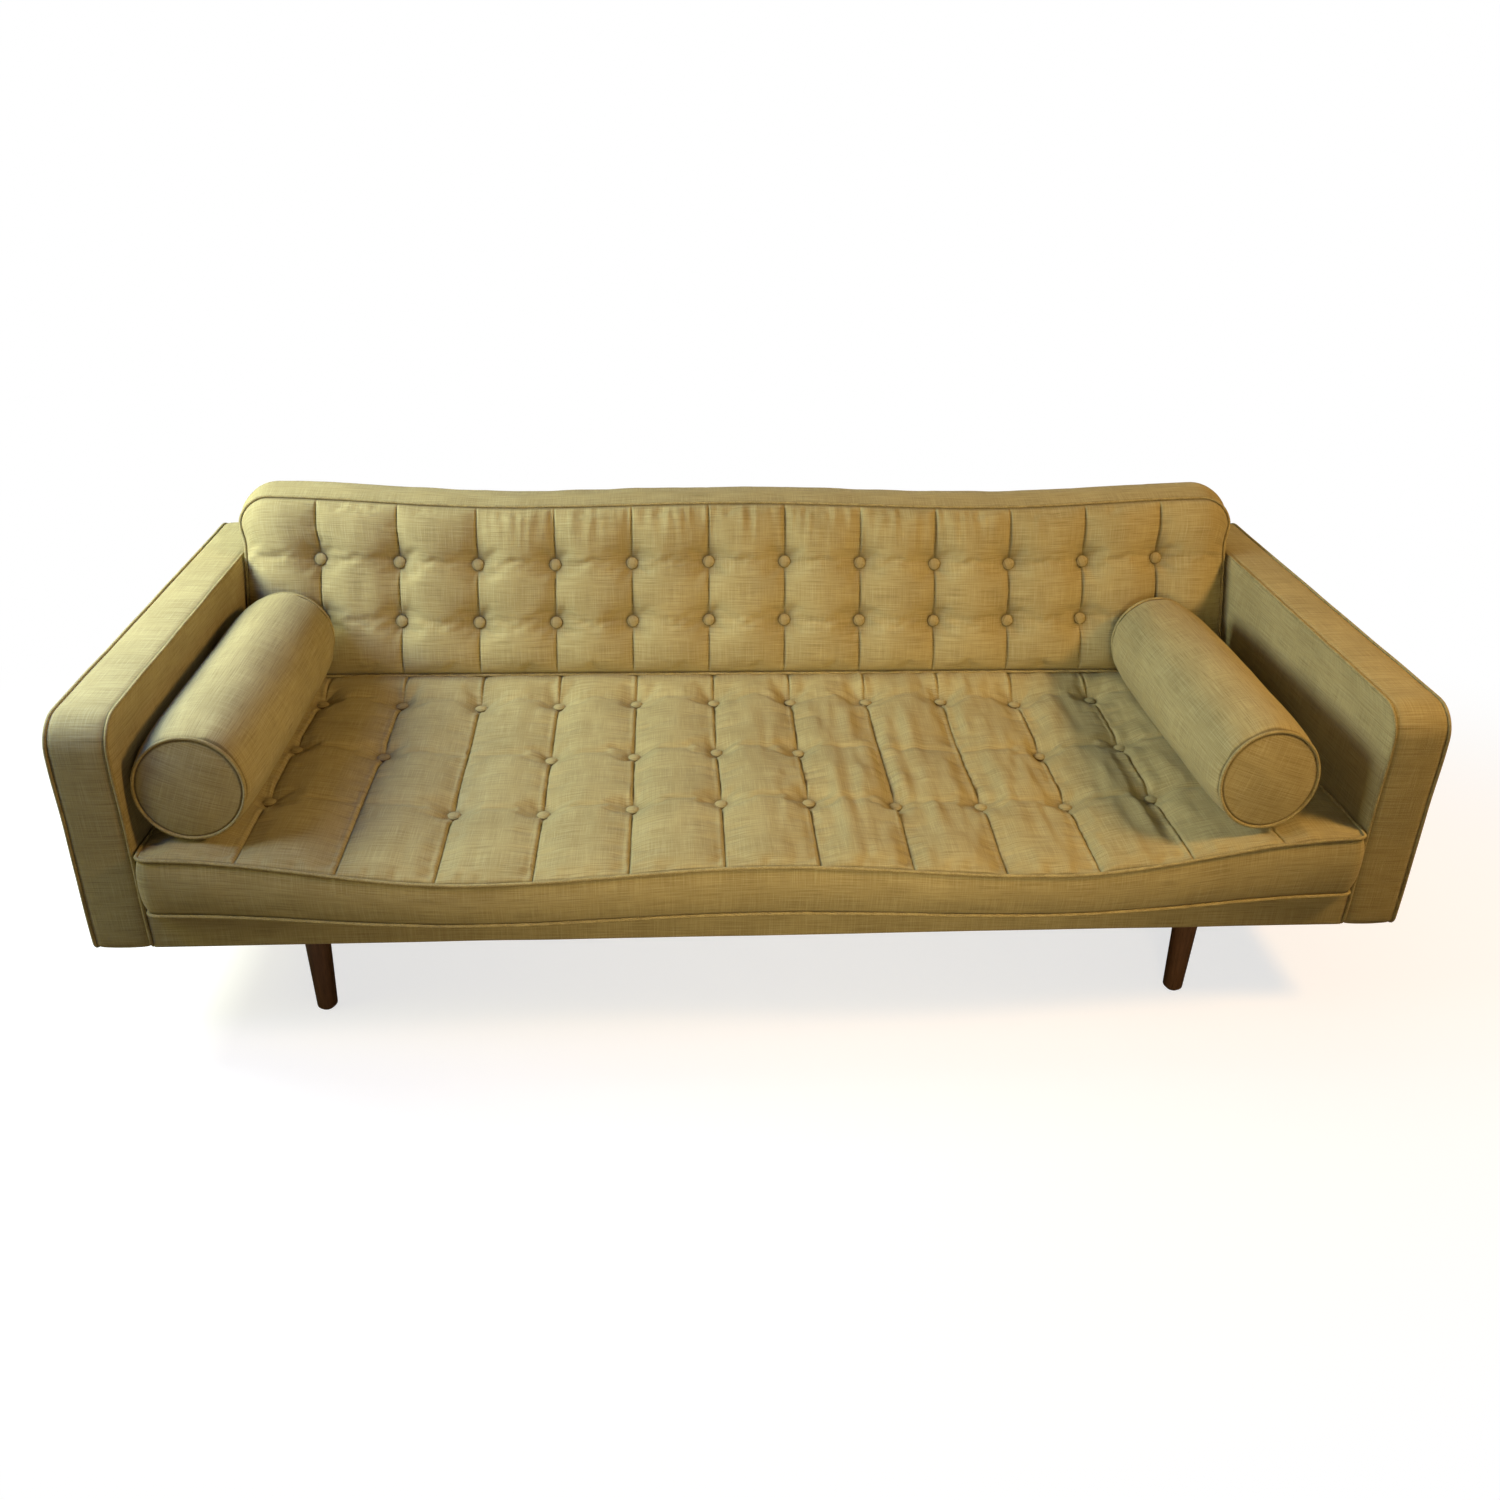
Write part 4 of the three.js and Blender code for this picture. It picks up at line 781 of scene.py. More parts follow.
low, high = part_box("front_rail_cover")
deck_low, deck_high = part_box("seat_deck")
lining_low, lining_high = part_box("dust_cover")
wall = low.y + RAIL_PADDING
turned_up = lining_low.y - CLOTH_GAP
under_deck = deck_low.z
rail_outline = [(turned_up, low.z), (turned_up, lining_high.z), (wall, lining_high.z)]
rail_outline += [(wall, under_deck), (high.y, under_deck), (high.y, high.z)]
rail_outline += arc((low.y + RAIL_EDGE, high.z - RAIL_EDGE), RAIL_EDGE, 90, 180)
rail_outline += arc((low.y + RAIL_EDGE, low.z + RAIL_EDGE), RAIL_EDGE, 180, 270)
mesh = span_mesh("rail_linen", stepped(rail_outline, RAIL_STEP), (low.x, high.x), RAIL_UNEVENNESS, 41)
rail_linen = piece("rail_linen", mesh, "frame", LINEN, ["front_rail_cover"])

deck_outline = []
for centre_y, centre_z, start in (
    (deck_low.y, deck_high.z, 90), (deck_low.y, deck_low.z, 180),
    (deck_high.y, deck_low.z, 270), (deck_high.y, deck_high.z, 0),
):
    inward_y = DECK_ROUND if centre_y == deck_low.y else -DECK_ROUND
    inward_z = DECK_ROUND if centre_z == deck_low.z else -DECK_ROUND
    deck_outline += arc((centre_y + inward_y, centre_z + inward_z), DECK_ROUND, start, start + 90)
deck_outline = stepped(deck_outline, DECK_STEP)
mesh = span_mesh("deck_linen", deck_outline, (deck_low.x, deck_high.x), DECK_UNEVENNESS, 43)
deck_linen = piece("deck_linen", mesh, "frame", LINEN, ["seat_deck"])

# The back is a raked frame under one linen cover, upright outside and sloped inside, with a
# rounded top edge between the arms.
BACK_PADDING = 0.012
BACK_TOP_REAR = 0.02
BACK_TOP_FRONT = 0.012
BACK_TOP_THICKNESS = 0.093948
BACK_RAKE = 0.299
BACK_UNEVENNESS = 0.0009
BACK_STEP = 0.02

low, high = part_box("back_cover")


def inside_back(z):
    return high.y - BACK_TOP_THICKNESS - BACK_RAKE * (high.z - z)


wall_top = high.z - BACK_PADDING
roll_start = high.z - BACK_TOP_FRONT
wall = high.y - BACK_PADDING
turned_up = lining_high.y + CLOTH_GAP
back_foot_y = inside_back(under_deck)
back_outline = [(back_foot_y, under_deck), (back_foot_y + BACK_PADDING, under_deck)]
back_outline += [(inside_back(wall_top) + BACK_PADDING, wall_top), (wall, wall_top)]
back_outline += [(wall, lining_high.z), (turned_up, lining_high.z), (turned_up, low.z), (high.y, low.z)]
back_outline += arc((high.y - BACK_TOP_REAR, high.z - BACK_TOP_REAR), BACK_TOP_REAR, 0, 90)
top_front = (inside_back(high.z) + BACK_TOP_FRONT, high.z)
fold, roll_end = (inside_back(high.z), high.z), (inside_back(roll_start), roll_start)
for share in np.linspace(0, 1, ARC_STEPS + 1):
    ends = np.multiply(top_front, (1 - share) ** 2) + np.multiply(roll_end, share**2)
    back_outline.append(tuple(ends + np.multiply(fold, 2 * share * (1 - share))))
mesh = span_mesh("back_linen", stepped(back_outline, BACK_STEP), (low.x, high.x), BACK_UNEVENNESS, 47)
back_linen = piece("back_linen", mesh, "frame", LINEN, ["back_cover"])

# The seat cushion is one long box cushion of thirteen panels, sewn through along its channels
# and drawn down by three rows of covered buttons. Two people's places have worn hollow, and
# four of the buttons have been lost.
UP = np.array([0, 0, 1.0])
PANELS = 13
END_PANEL = 0.1464
CROWN_POWER = 0.6
CREASE_REACH = 0.024
CREASE_SHARE = 0.3
SEAT_CREASE_SHARE = 0.1
TUFT_REACH = 0.03
WELT_STAND = 0.0031
COLUMN_STEP = 0.011
CHANNEL_STEPS = (-0.0105, -0.0075, -0.0035, -0.0013, 0.0, 0.0013, 0.0035, 0.008)
CHANNEL_HALF = 0.002
LIP_SLOPE = 0.0025
CHANNEL_FADE = 0.022
STITCH_HALF = 0.0016
CORNER_STEPS = 7
ROW_STEP = 0.0105
SEAT_GROOVE = (0.0019, 0.0012, -0.0058, 0.0045)
SEAT_ROW_SHARES = (0.2343, 0.4876, 0.7557)
SEAT_SHELF_SHARE = 0.8424
SEAT_SHIFT = 0.008
SEAT_FRONT_HEIGHT = 0.389
SEAT_RIGHT_RISE = 0.007
SEAT_SHELF = 0.384
SEAT_PLATEAU = 0.39
SEAT_SAG = 0.044
SEAT_LIP_SAG = 0.016
SEAT_BULGE = 0.02
SEAT_HOLLOW = 0.015
SEAT_CROWN = 0.010
SEAT_TUFT = 0.013
SEAT_ROLL = 0.07
SEAT_CORNER = 0.025
SEAT_FRONT_OUT = 0.018
SEAT_ROLL_Y = 0.027
SEAT_SEAM_LIFT = 0.004
SEAT_RELIEF_ROLL = 0.018
SEAT_INSET = 0.012
SEAT_BAND_SWELL = 0.0065
SEAT_END_SWELL = 0.001
SEAT_EAR = 0.008
SEAT_EDGE_WAVES = 0.0016
SEAT_SHIFTS = 0.0018
SEAT_EDGE_WAVE_SIZE = 0.07
SEAT_SHIFT_SIZE = 0.19
SEAT_WAVE_SIZE = 0.15
NARROW_SIZE = (0.024, 0.11)
SHORT_SIZE = (0.013, 0.05)
SEAT_HOLLOW_SHARES = (0, 0, 0.35, 1, 0)
SEAT_SAG_SHARES = (1, 0.95, 0.82, 0.36, 0)
SEAT_RISE_WIDTH = 0.5
EAR_START = 0.001
EAR_LENGTH = 0.014
EAR_POWER = 15
FREE_START = 0.004
FREE_LENGTH = 0.02
SEAT_REAR_ROLL = 0.035
SEAT_FRONT_STEPS = 8
SEAT_REAR_STEPS = 6
SEAT_BAND_STEPS = 7
SEAT_LOST = ((0, 1), (1, 2), (1, 7), (1, 8))
SEAT_PUFF = 0.005
BROAD_WAVES = 0.0025
NARROW_WRINKLES = 0.0049
SHORT_WRINKLES = 0.002
# The side the light comes from, which sets where the shade painted round the buttons is heaviest.
LIGHT_SIDE = (-0.7, 0.7)
PIPING_WANDER = 0.0006
PIPING_WANDER_SIZE = 0.05
SITTER_OFFSET = 0.48
CENTRE_SHARE = 0.55
FILLING_FRAMES = 20
BAND_BLEND = 5
BUTTON_RIM = 0.0035
BUTTON_DOME = 0.003
BUTTON_ROOT = 0.005
BUTTON_ROLL = 0.0022
BUTTON_TAPER = 0.002
BUTTON_SIDES = 28
SEAT_BUTTON_SINK = 0.0028
BACK_BUTTON_SINK = 0.0004
FOLD_DEPTH = 0.0019
SEAT_ROW_FOLD = 0.0008
BACK_ROW_FOLD = 0.0013
ROW_RIDGES = ((-0.006, 1.0), (0.004, -0.9), (0.012, 0.6))
RIDGE_HALF = 0.0032
ROW_WANDER = 0.005
ROW_WANDER_SIZE = 0.05
FOLD_AWAY = 0.03
FOLD_SPREAD = 0.018
FOLD_REACH = 0.09
# The next nine set the shade painted into the channels and into the tuck and halo round each button,
# heavier on the side away from the light.
CHANNEL_LINE = 0.0012
SEAT_CHANNEL_DARK = 0.3
BACK_CHANNEL_DARK = 0.09
TUCK_REACH = 0.0045
TUCK_DARK = 0.68
HALO_REACH = 0.026
HALO_DARK = 0.24
HALO_EVEN = 0.62
HALO_ONE_SIDED = 0.38
HELD_REACH = 0.02
HELD_SHARE = 0.6
BUTTON_UNDER = 0.5
BUTTON_ROUND = (0.95, 1.35)


def ease(share):
    return (1 - np.cos(np.pi * np.clip(share, 0, 1))) / 2


def seam_places(half, shift):
    pitch = 2 * (half - END_PANEL) / (PANELS - 2)
    return (np.arange(PANELS - 1) - (PANELS - 2) / 2) * pitch + shift


def skin_columns(half, seams, corner):
    edges = np.concatenate(([-half + corner], seams, [half - corner]))
    columns = [seam + np.array(CHANNEL_STEPS) for seam in seams]
    for a, b in zip(edges, edges[1:]):
        inner_a, inner_b = a + CHANNEL_STEPS[-1], b + CHANNEL_STEPS[0]
        columns.append(np.linspace(inner_a, inner_b, round((inner_b - inner_a) / COLUMN_STEP) + 1)[1:-1])
    ends = half - corner * (1 - np.sin(np.linspace(0, math.pi / 2, CORNER_STEPS)))
    return np.unique(np.round(np.concatenate(columns + [ends, -ends]), 6))


def with_middles(values):
    """Values with one more between each two neighbours."""
    result = np.empty(2 * len(values) - 1)
    result[::2] = values
    result[1::2] = (values[1:] + values[:-1]) / 2
    return result


def finer(shares):
    """Shares of a way without its start, twice as close together."""
    return with_middles(np.concatenate(([0.0], shares)))[1:]


def smooth_middles(grid, axis, closed=False):
    """The same for a grid of movements, on a smooth curve through four neighbours."""
    grid = np.moveaxis(grid, axis, 0)
    before = np.roll(grid, 1, axis=0)
    after = np.roll(grid, -1, axis=0)
    beyond = np.roll(grid, -2, axis=0)
    middles = (9 * (grid + after) - before - beyond) / 16
    if not closed:
        middles[0] = (grid[0] + grid[1]) / 2
        middles[-2] = (grid[-2] + grid[-1]) / 2
        middles = middles[:-1]
    result = np.empty((len(grid) + len(middles),) + grid.shape[1:])
    result[::2] = grid
    result[1::2] = middles
    return np.moveaxis(result, 0, axis)


def panel_crown(x, half, seams):
    edges = np.concatenate(([-half], seams, [half]))
    k = np.clip(np.searchsorted(edges, x), 1, len(edges) - 1)
    share = np.clip((x - edges[k - 1]) / (edges[k] - edges[k - 1]), 0, 1)
    return np.sin(np.pi * share) ** CROWN_POWER


def corner_inset(x, half, radius):
    over = np.clip(np.abs(x) - half + radius, 0, radius)
    return radius - np.sqrt(radius**2 - over**2)


def pressed(x, half):
    """How far a place across the sofa is pressed by a sitter, from 0 to 1."""
    a = np.abs(x)
    outer = 1 - ease((a - SITTER_OFFSET) / (half - SITTER_OFFSET))
    inner = CENTRE_SHARE + (1 - CENTRE_SHARE) * ease(a / SITTER_OFFSET)
    return np.where(a > SITTER_OFFSET, outer, inner)


def drawn_in(places, x, y, reach):
    most = np.zeros(np.shape(x))
    for place_x, place_y in places:
        most = np.maximum(most, np.exp(-((x - place_x) ** 2 + (y - place_y) ** 2) / reach**2))
    return most


def near_seam(x, seams):
    """How far a place is to the right of the nearest channel."""
    offsets = x[..., None] - seams
    return np.take_along_axis(offsets, np.abs(offsets).argmin(-1)[..., None], -1)[..., 0]


def channel_relief(x, seams, depth, lip, lip_at, lip_half):
    """A sewn channel: a thin groove, with a low lip of folded cloth beside it."""
    d = near_seam(x, seams)
    groove = -depth * np.exp(-((d / CHANNEL_HALF) ** 2))
    edge = np.clip((lip_half - np.abs(d - lip_at)) / LIP_SLOPE, 0, 1)
    return groove + lip * ease(edge)


def painted_shade_lines(x, y, seams, places, channel_dark):
    """Where shade is painted on the cloth: in the channels, and in the tuck and a soft halo round
    each button, most on the side away from the light."""
    line = np.exp(-((near_seam(x, seams) / CHANNEL_LINE) ** 2)) * channel_dark
    ring = np.zeros(x.shape)
    for place_x, place_y in places:
        dx, dy = x - place_x, y - place_y
        away = np.hypot(dx, dy)
        lit = dx * LIGHT_SIDE[0] + dy * LIGHT_SIDE[1]
        shade = HALO_EVEN + HALO_ONE_SIDED * lit / np.maximum(away, 1e-6)
        tuck = np.exp(-(((away - BUTTON_RADIUS) / TUCK_REACH) ** 2)) * TUCK_DARK
        halo = np.exp(-((away / HALO_REACH) ** 2)) * HALO_DARK
        ring = np.maximum(ring, np.maximum(tuck, halo) * shade)
    return np.maximum(line, ring)


def row_folds(x, to_row, seed, fold):
    """Thin folds that run from button to button along a row."""
    wander = drift_over(x, np.full(x.shape, seed), ROW_WANDER_SIZE, seed) * ROW_WANDER
    ridges = np.zeros(x.shape)
    for offset, height in ROW_RIDGES:
        ridges += height * np.exp(-(((to_row - offset - wander) / RIDGE_HALF) ** 2))
    return ridges * fold


def button_folds(places, x, y, seed):
    """Short folds that run out from the buttons."""
    folds = np.zeros(np.shape(x))
    for k, (place_x, place_y) in enumerate(places):
        dx, dy = x - place_x, y - place_y
        close = dx**2 + dy**2 < FOLD_REACH**2
        away = np.hypot(dx[close], dy[close])
        turn = np.arctan2(dy[close], dx[close])
        start = drift(np.array([[k * 3.7, seed]]), 1.0, seed)[0] * 3
        waves = np.cos(5 * turn + start) * 0.6 + np.cos(8 * turn - 2 * start) * 0.5
        folds[close] += waves * FOLD_DEPTH * np.exp(-(((away - FOLD_AWAY) / FOLD_SPREAD) ** 2))
    return folds


def puffed(mesh, sewn, cap):
    """How far each place of a cover moves when its filling presses it outwards."""
    start = np.empty(3 * len(mesh.vertices), np.float32)
    mesh.vertices.foreach_get("co", start)
    holder = added(mesh.name, mesh)
    group = holder.vertex_groups.new(name="sewn")
    group.add([int(k) for k in np.flatnonzero(sewn)], 1.0, "REPLACE")
    modifier = holder.modifiers.new("filling", "CLOTH")
    for key, value in (
        ("quality", 5), ("mass", 0.2), ("tension_stiffness", 12), ("compression_stiffness", 12),
        ("shear_stiffness", 4), ("bending_stiffness", 0.4), ("use_pressure", True),
        ("uniform_pressure_force", 4), ("shrink_min", -0.015), ("vertex_group_mass", "sewn"),
    ):
        setattr(modifier.settings, key, value)
    modifier.settings.effector_weights.gravity = 0
    modifier.collision_settings.use_collision = False
    for moment in range(1, FILLING_FRAMES + 1):
        bpy.context.scene.frame_set(moment)
    ready = holder.evaluated_get(bpy.context.evaluated_depsgraph_get())
    end = np.empty_like(start)
    ready.data.vertices.foreach_get("co", end)
    bpy.data.objects.remove(holder)
    bpy.context.scene.frame_set(1)
    moved = (end - start).reshape(-1, 3).astype(float)
    length = np.linalg.norm(moved, axis=1)
    return moved * (np.tanh(length / cap) * cap / np.maximum(length, 1e-9))[:, None]


def filled(name, face, rings, under, across, along, seams, buttons, held_below, cap):
    """How a filling moves a cushion's face and band, for twice as many places each way. The
    cloth is sewn at its channels, seams and buttons, and held where its band rests."""
    coarse = boxed_mesh(name, face, rings + [under])
    sewn_face = np.abs(near_seam(across, seams)) < STITCH_HALF
    sewn_face |= drawn_in(buttons, across, along, HELD_REACH) > HELD_SHARE
    sewn_face[[0, -1], :] = True
    sewn_face[:, [0, -1]] = True
    sewn = [sewn_face.ravel()] + [ring[:, 2] < held_below for ring in rings[:-1]]
    moved = puffed(coarse, np.concatenate(sewn + [np.ones(2 * len(under), bool)]), cap)
    bpy.data.meshes.remove(coarse)
    inner = moved[:across.size].reshape(*across.shape, 3)
    band = moved[across.size:-len(under)].reshape(len(rings), len(under), 3)
    turns = range(-BAND_BLEND, BAND_BLEND + 1)
    band = sum(np.roll(band, k, axis=1) for k in turns) / len(turns)
    band = np.concatenate((edge_of(inner)[None], band))
    finer_face = smooth_middles(smooth_middles(inner, 0), 1)
    return finer_face, smooth_middles(smooth_middles(band, 0), 1, True)[1:]


# The buttons are low domes of cloth over a metal shell, with a rolled rim.
BUTTONS = node_tree(
    "buttons", (("Places", "Geometry"), ("Button", "Object")), "Buttons",
    (("points", "MeshToPoints", {}), ("shape", "ObjectInfo", {}),
     ("turn", "InputNamedAttribute", {"data_type": "FLOAT_VECTOR"}), ("place", "InstanceOnPoints", {})),
    (("given", "Places", "points", "Mesh"), ("given", "Button", "shape", "Object"),
     ("points", "Points", "place", "Points"), ("shape", "Geometry", "place", "Instance"),
     ("turn", "Attribute", "place", "Rotation"), ("place", "Instances", "real", "Geometry")),
)
BUTTONS.nodes["turn"].inputs["Name"].default_value = "turn"
bend = np.linspace(0, math.pi / 2, 6)
inward = np.linspace(1, 0.08, 9)[1:]
radii = [BUTTON_RADIUS - BUTTON_TAPER, BUTTON_RADIUS]
radii += list(BUTTON_RADIUS - BUTTON_ROLL * (1 - np.cos(bend)))
radii += list((BUTTON_RADIUS - BUTTON_ROLL) * inward)
heights = [-BUTTON_ROOT, 0.0]
heights += list(BUTTON_RIM - BUTTON_ROLL + BUTTON_ROLL * np.sin(bend))
heights += list(BUTTON_RIM + BUTTON_DOME * np.sqrt(1 - inward**2))
mesh = round_mesh("button", radii, heights, BUTTON_SIDES, (0, 0))
layer = mesh.uv_layers.new(name="cloth")
for loop in mesh.loops:
    layer.data[loop.index].uv = mesh.vertices[loop.vertex_index].co.xy
BUTTON = added("button", mesh)


def add_buttons(name, places, directions, body, seed):
    points = bpy.data.meshes.new(name + "_places")
    points.from_pydata([tuple(p) for p in places], [], [])
    turns = points.attributes.new("turn", "FLOAT_VECTOR", "POINT")
    spins = drift(np.arange(len(places))[:, None] * 1.37, 1.0, seed) * 0.5
    for k, (direction, spin) in enumerate(zip(directions, spins)):
        facing = Vector(direction).to_track_quat("Z", "X").to_matrix()
        turns.data[k].vector = (facing @ Matrix.Rotation(spin, 3, "Z")).to_euler()
    mesh = from_nodes(name, points, BUTTONS, {"Button": BUTTON, "Cloth": BUTTON_LINEN})
    piece(name, mesh, body, BUTTON_LINEN)


# The seat's skin runs from a front edge that bulges under the sitters to a low shelf, on which
# the back cushion stands.
seat_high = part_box("seat_cushion")[1]
SEAT_HALF = seat_high.x
arm_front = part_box("arm_cover_left")[0].y
seat_rear = seat_high.y
seat_front = arm_front - SEAT_FRONT_OUT
seat_floor = deck_high.z + CLOTH_GAP
seat_low_seam = seat_floor + SEAT_SEAM_LIFT
SEAT_SEAMS = seam_places(SEAT_HALF, SEAT_SHIFT)
seat_rows = [arm_front + share * (seat_rear - arm_front) for share in SEAT_ROW_SHARES]
seat_shelf_y = arm_front + SEAT_SHELF_SHARE * (seat_rear - arm_front)
seat_roll_y = arm_front + SEAT_ROLL_Y
seat_buttons = [
    (x, y) for row, y in enumerate(seat_rows) for column, x in enumerate(SEAT_SEAMS)
    if (row, column) not in SEAT_LOST
]


def seat_front_edge(x):
    return seat_front - SEAT_BULGE * pressed(x, SEAT_HALF) + corner_inset(x, SEAT_HALF, SEAT_CORNER)


def seat_rear_edge(x):
    return seat_rear - corner_inset(x, SEAT_HALF, SEAT_CORNER)


def eased(places, shares, y):
    result = np.full(np.shape(y), float(shares[0]))
    for (a, b), (low_share, high_share) in zip(zip(places, places[1:]), zip(shares, shares[1:])):
        result = np.where(y > a, low_share + ease((y - a) / (b - a)) * (high_share - low_share), result)
    return result


def seat_height(x, y):
    press = pressed(x, SEAT_HALF)
    front, rear = seat_front_edge(x), seat_rear_edge(x)
    share = np.clip((y - front) / (rear - front), 0, 1)
    to_right = ease((x - SITTER_OFFSET) / SEAT_RISE_WIDTH)
    front_z = SEAT_FRONT_HEIGHT - SEAT_SAG * press + SEAT_RIGHT_RISE * to_right
    rear_seam = SEAT_SHELF - CLOTH_GAP - SEAT_SEAM_LIFT
    edge_z = front_z + share * (rear_seam - front_z)
    on_shelf = ease((y - seat_rows[2]) / (seat_shelf_y - seat_rows[2]))
    level = SEAT_PLATEAU + on_shelf * (SEAT_SHELF - SEAT_PLATEAU)
    places = [seat_roll_y, *seat_rows, seat_shelf_y]
    hollow = SEAT_HOLLOW * eased(places, SEAT_HOLLOW_SHARES, y)
    sag = SEAT_SAG * eased(places, SEAT_SAG_SHARES, y) * press
    near_row = np.min([np.abs(y - row) for row in seat_rows], axis=0)
    crease = 1 - SEAT_CREASE_SHARE * np.exp(-((near_row / CREASE_REACH) ** 2))
    crown = SEAT_CROWN * panel_crown(x, SEAT_HALF, SEAT_SEAMS) * crease * (1 - on_shelf)
    inner = level - hollow - sag + crown - SEAT_TUFT * drawn_in(seat_buttons, x, y, TUFT_REACH)
    to_edge = np.minimum(y - front, rear - y)
    rise = rounded(SEAT_HALF - np.abs(x), SEAT_ROLL) * rounded(to_edge, SEAT_ROLL)
    return edge_z + rise * (inner - edge_z)


def eared(points):
    """The seat is a little wider in front of the arms."""
    wide = SEAT_EAR * ease((arm_front - EAR_START - points[..., 1]) / EAR_LENGTH)
    result = points.copy()
    result[..., 0] += wide * (points[..., 0] / SEAT_HALF) ** EAR_POWER
    return result


def seat_face(columns, rows):
    """The seat's skin. Its first and last rows follow the edges; the rest are straight."""
    front_share, straight_y, rear_share = rows
    x = columns[None, :]
    front = seat_front_edge(x) + (seat_roll_y - seat_front_edge(x)) * front_share[:, None]
    straight = np.repeat(straight_y[:, None], len(columns), axis=1)
    last = straight_y[-1]
    rear = last + (seat_rear_edge(x) - last) * rear_share[:, None]
    y = np.concatenate((front, straight, rear))
    x = np.repeat(x, len(y), axis=0)
    return np.dstack((x, y, seat_height(x, y)))


def seat_band(edge, shares):
    """The boxing's rings, from below the upper seam to the lower seam, and the underside."""
    press = pressed(edge[:, 0], SEAT_HALF)
    lower = edge.copy()
    lower[:, 2] = seat_low_seam - np.where(edge[:, 1] < arm_front, SEAT_LIP_SAG * press, 0)
    out = outward_of(edge, UP)
    free = ease((arm_front + FREE_START - edge[:, 1]) / FREE_LENGTH)
    rings = []
    for share in shares:
        ring = edge + (lower - edge) * share
        swell = SEAT_END_SWELL + (SEAT_BAND_SWELL - SEAT_END_SWELL) * free
        rings.append(ring + out * (swell * math.sin(math.pi * share) ** 0.8)[:, None])
    rings = [eared(ring) for ring in rings]
    lower = eared(lower)
    under = lower - out * SEAT_INSET
    under[:, 1] = np.maximum(under[:, 1], arm_front - CLOTH_GAP)
    under[:, 2] = seat_floor
    return rings, lower, under


# The skin is laid out coarsely for its filling, then twice as finely with its small folds.
breaks = [seat_roll_y, *seat_rows, seat_shelf_y, seat_rear - SEAT_REAR_ROLL]
straight_rows = np.concatenate([
    np.linspace(a, b, round((b - a) / ROW_STEP) + 1)[:-1] for a, b in zip(breaks, breaks[1:])
] + [np.array([breaks[-1]])])
columns = skin_columns(SEAT_HALF, SEAT_SEAMS, SEAT_CORNER)
even = np.linspace(0, 1, SEAT_FRONT_STEPS)
front_shares = ease(even)[:-1] * 0.4 + even[:-1] * 0.6
rear_shares = np.linspace(0, 1, SEAT_REAR_STEPS)[1:]
band_shares = np.linspace(0, 1, SEAT_BAND_STEPS)[1:]

face = seat_face(columns, (front_shares, straight_rows, rear_shares))
rings, lower, under = seat_band(edge_of(face), band_shares)
face_moved, band_moved = filled(
    "seat_filling", face, rings, under, face[..., 0], face[..., 1], SEAT_SEAMS, seat_buttons, 0, SEAT_PUFF
)

all_front = with_middles(np.append(front_shares, 1.0))[:-1]
face = seat_face(with_middles(columns), (all_front, with_middles(straight_rows), finer(rear_shares)))
x, y = face[..., 0], face[..., 1]
to_edge = np.minimum(np.minimum(y - seat_front_edge(x), seat_rear_edge(x) - y), SEAT_HALF - np.abs(x))
inside = rounded(to_edge, SEAT_RELIEF_ROLL)
# The right-hand place is the more wrinkled one.
wrinkled = ease((x + 0.1) / 0.3) * ease((0.85 - x) / 0.15) * 0.75 + 0.25
wrinkles = drift_over(x, y, NARROW_SIZE, 7) * NARROW_WRINKLES
wrinkles = wrinkles + drift_over(x, y, SHORT_SIZE, 9) * SHORT_WRINKLES
channels = channel_relief(x, SEAT_SEAMS, *SEAT_GROOVE) * (1 - drawn_in(seat_buttons, x, y, CHANNEL_FADE))
relief = channels + drift_over(x, y, SEAT_WAVE_SIZE, 3) * BROAD_WAVES + wrinkles * wrinkled
relief = relief + button_folds(seat_buttons, x, y, 13)
for k, row in enumerate(seat_rows):
    relief = relief + row_folds(x, y - row, 91 + k, SEAT_ROW_FOLD)
face = face + face_moved
face[..., 2] += relief * inside
face[..., 0] += drift_over(x + 5, y + 5, SEAT_SHIFT_SIZE, 15) * SEAT_SHIFTS * inside
edge = edge_of(face)
rings, lower, under = seat_band(edge, finer(band_shares))
out = outward_of(edge, UP)
face, edge = eared(face), eared(edge)
for k, (share, ring) in enumerate(zip(finer(band_shares), rings)):
    soft = drift(ring, SEAT_EDGE_WAVE_SIZE, 17) * SEAT_EDGE_WAVES * math.sin(math.pi * share)
    rings[k] = ring + band_moved[k] + out * soft[:, None]
# Shade painted into the seat's channels and round its buttons, none on the shelf.
painted_shade = painted_shade_lines(x, y, SEAT_SEAMS, seat_buttons, SEAT_CHANNEL_DARK) * (y < seat_shelf_y)
mesh = boxed_mesh("seat_linen", face, rings + [under], painted_shade=painted_shade)
seat_linen = piece("seat_linen", mesh, "seat_cushion", LINEN, ["seat_cushion"])
for level_name, loop, seed in (("top", edge, 51), ("bottom", lower, 53)):
    path = loop + outward_of(loop, UP) * WELT_STAND
    path[:, 2] += drift(path, PIPING_WANDER_SIZE, seed) * PIPING_WANDER
    add_piping(f"seat_piping_{level_name}", path, "seat_cushion", [f"seat_welt_{level_name}"])


def seated(face, across, along, buttons, direction, sink):
    """Places for buttons: each stands on the cloth that lies round its rim."""
    direction = np.array(direction)
    places = []
    for place_x, place_y in buttons:
        away = np.hypot(across - place_x, along - place_y)
        near = face[away < BUTTON_RADIUS * BUTTON_UNDER].mean(axis=0)
        from_rim, to_rim = (BUTTON_RADIUS * share for share in BUTTON_ROUND)
        round_rim = face[(away > from_rim) & (away < to_rim)]
        rise = (round_rim @ direction).mean() - near @ direction
        places.append(near + direction * (rise - sink))
    return places


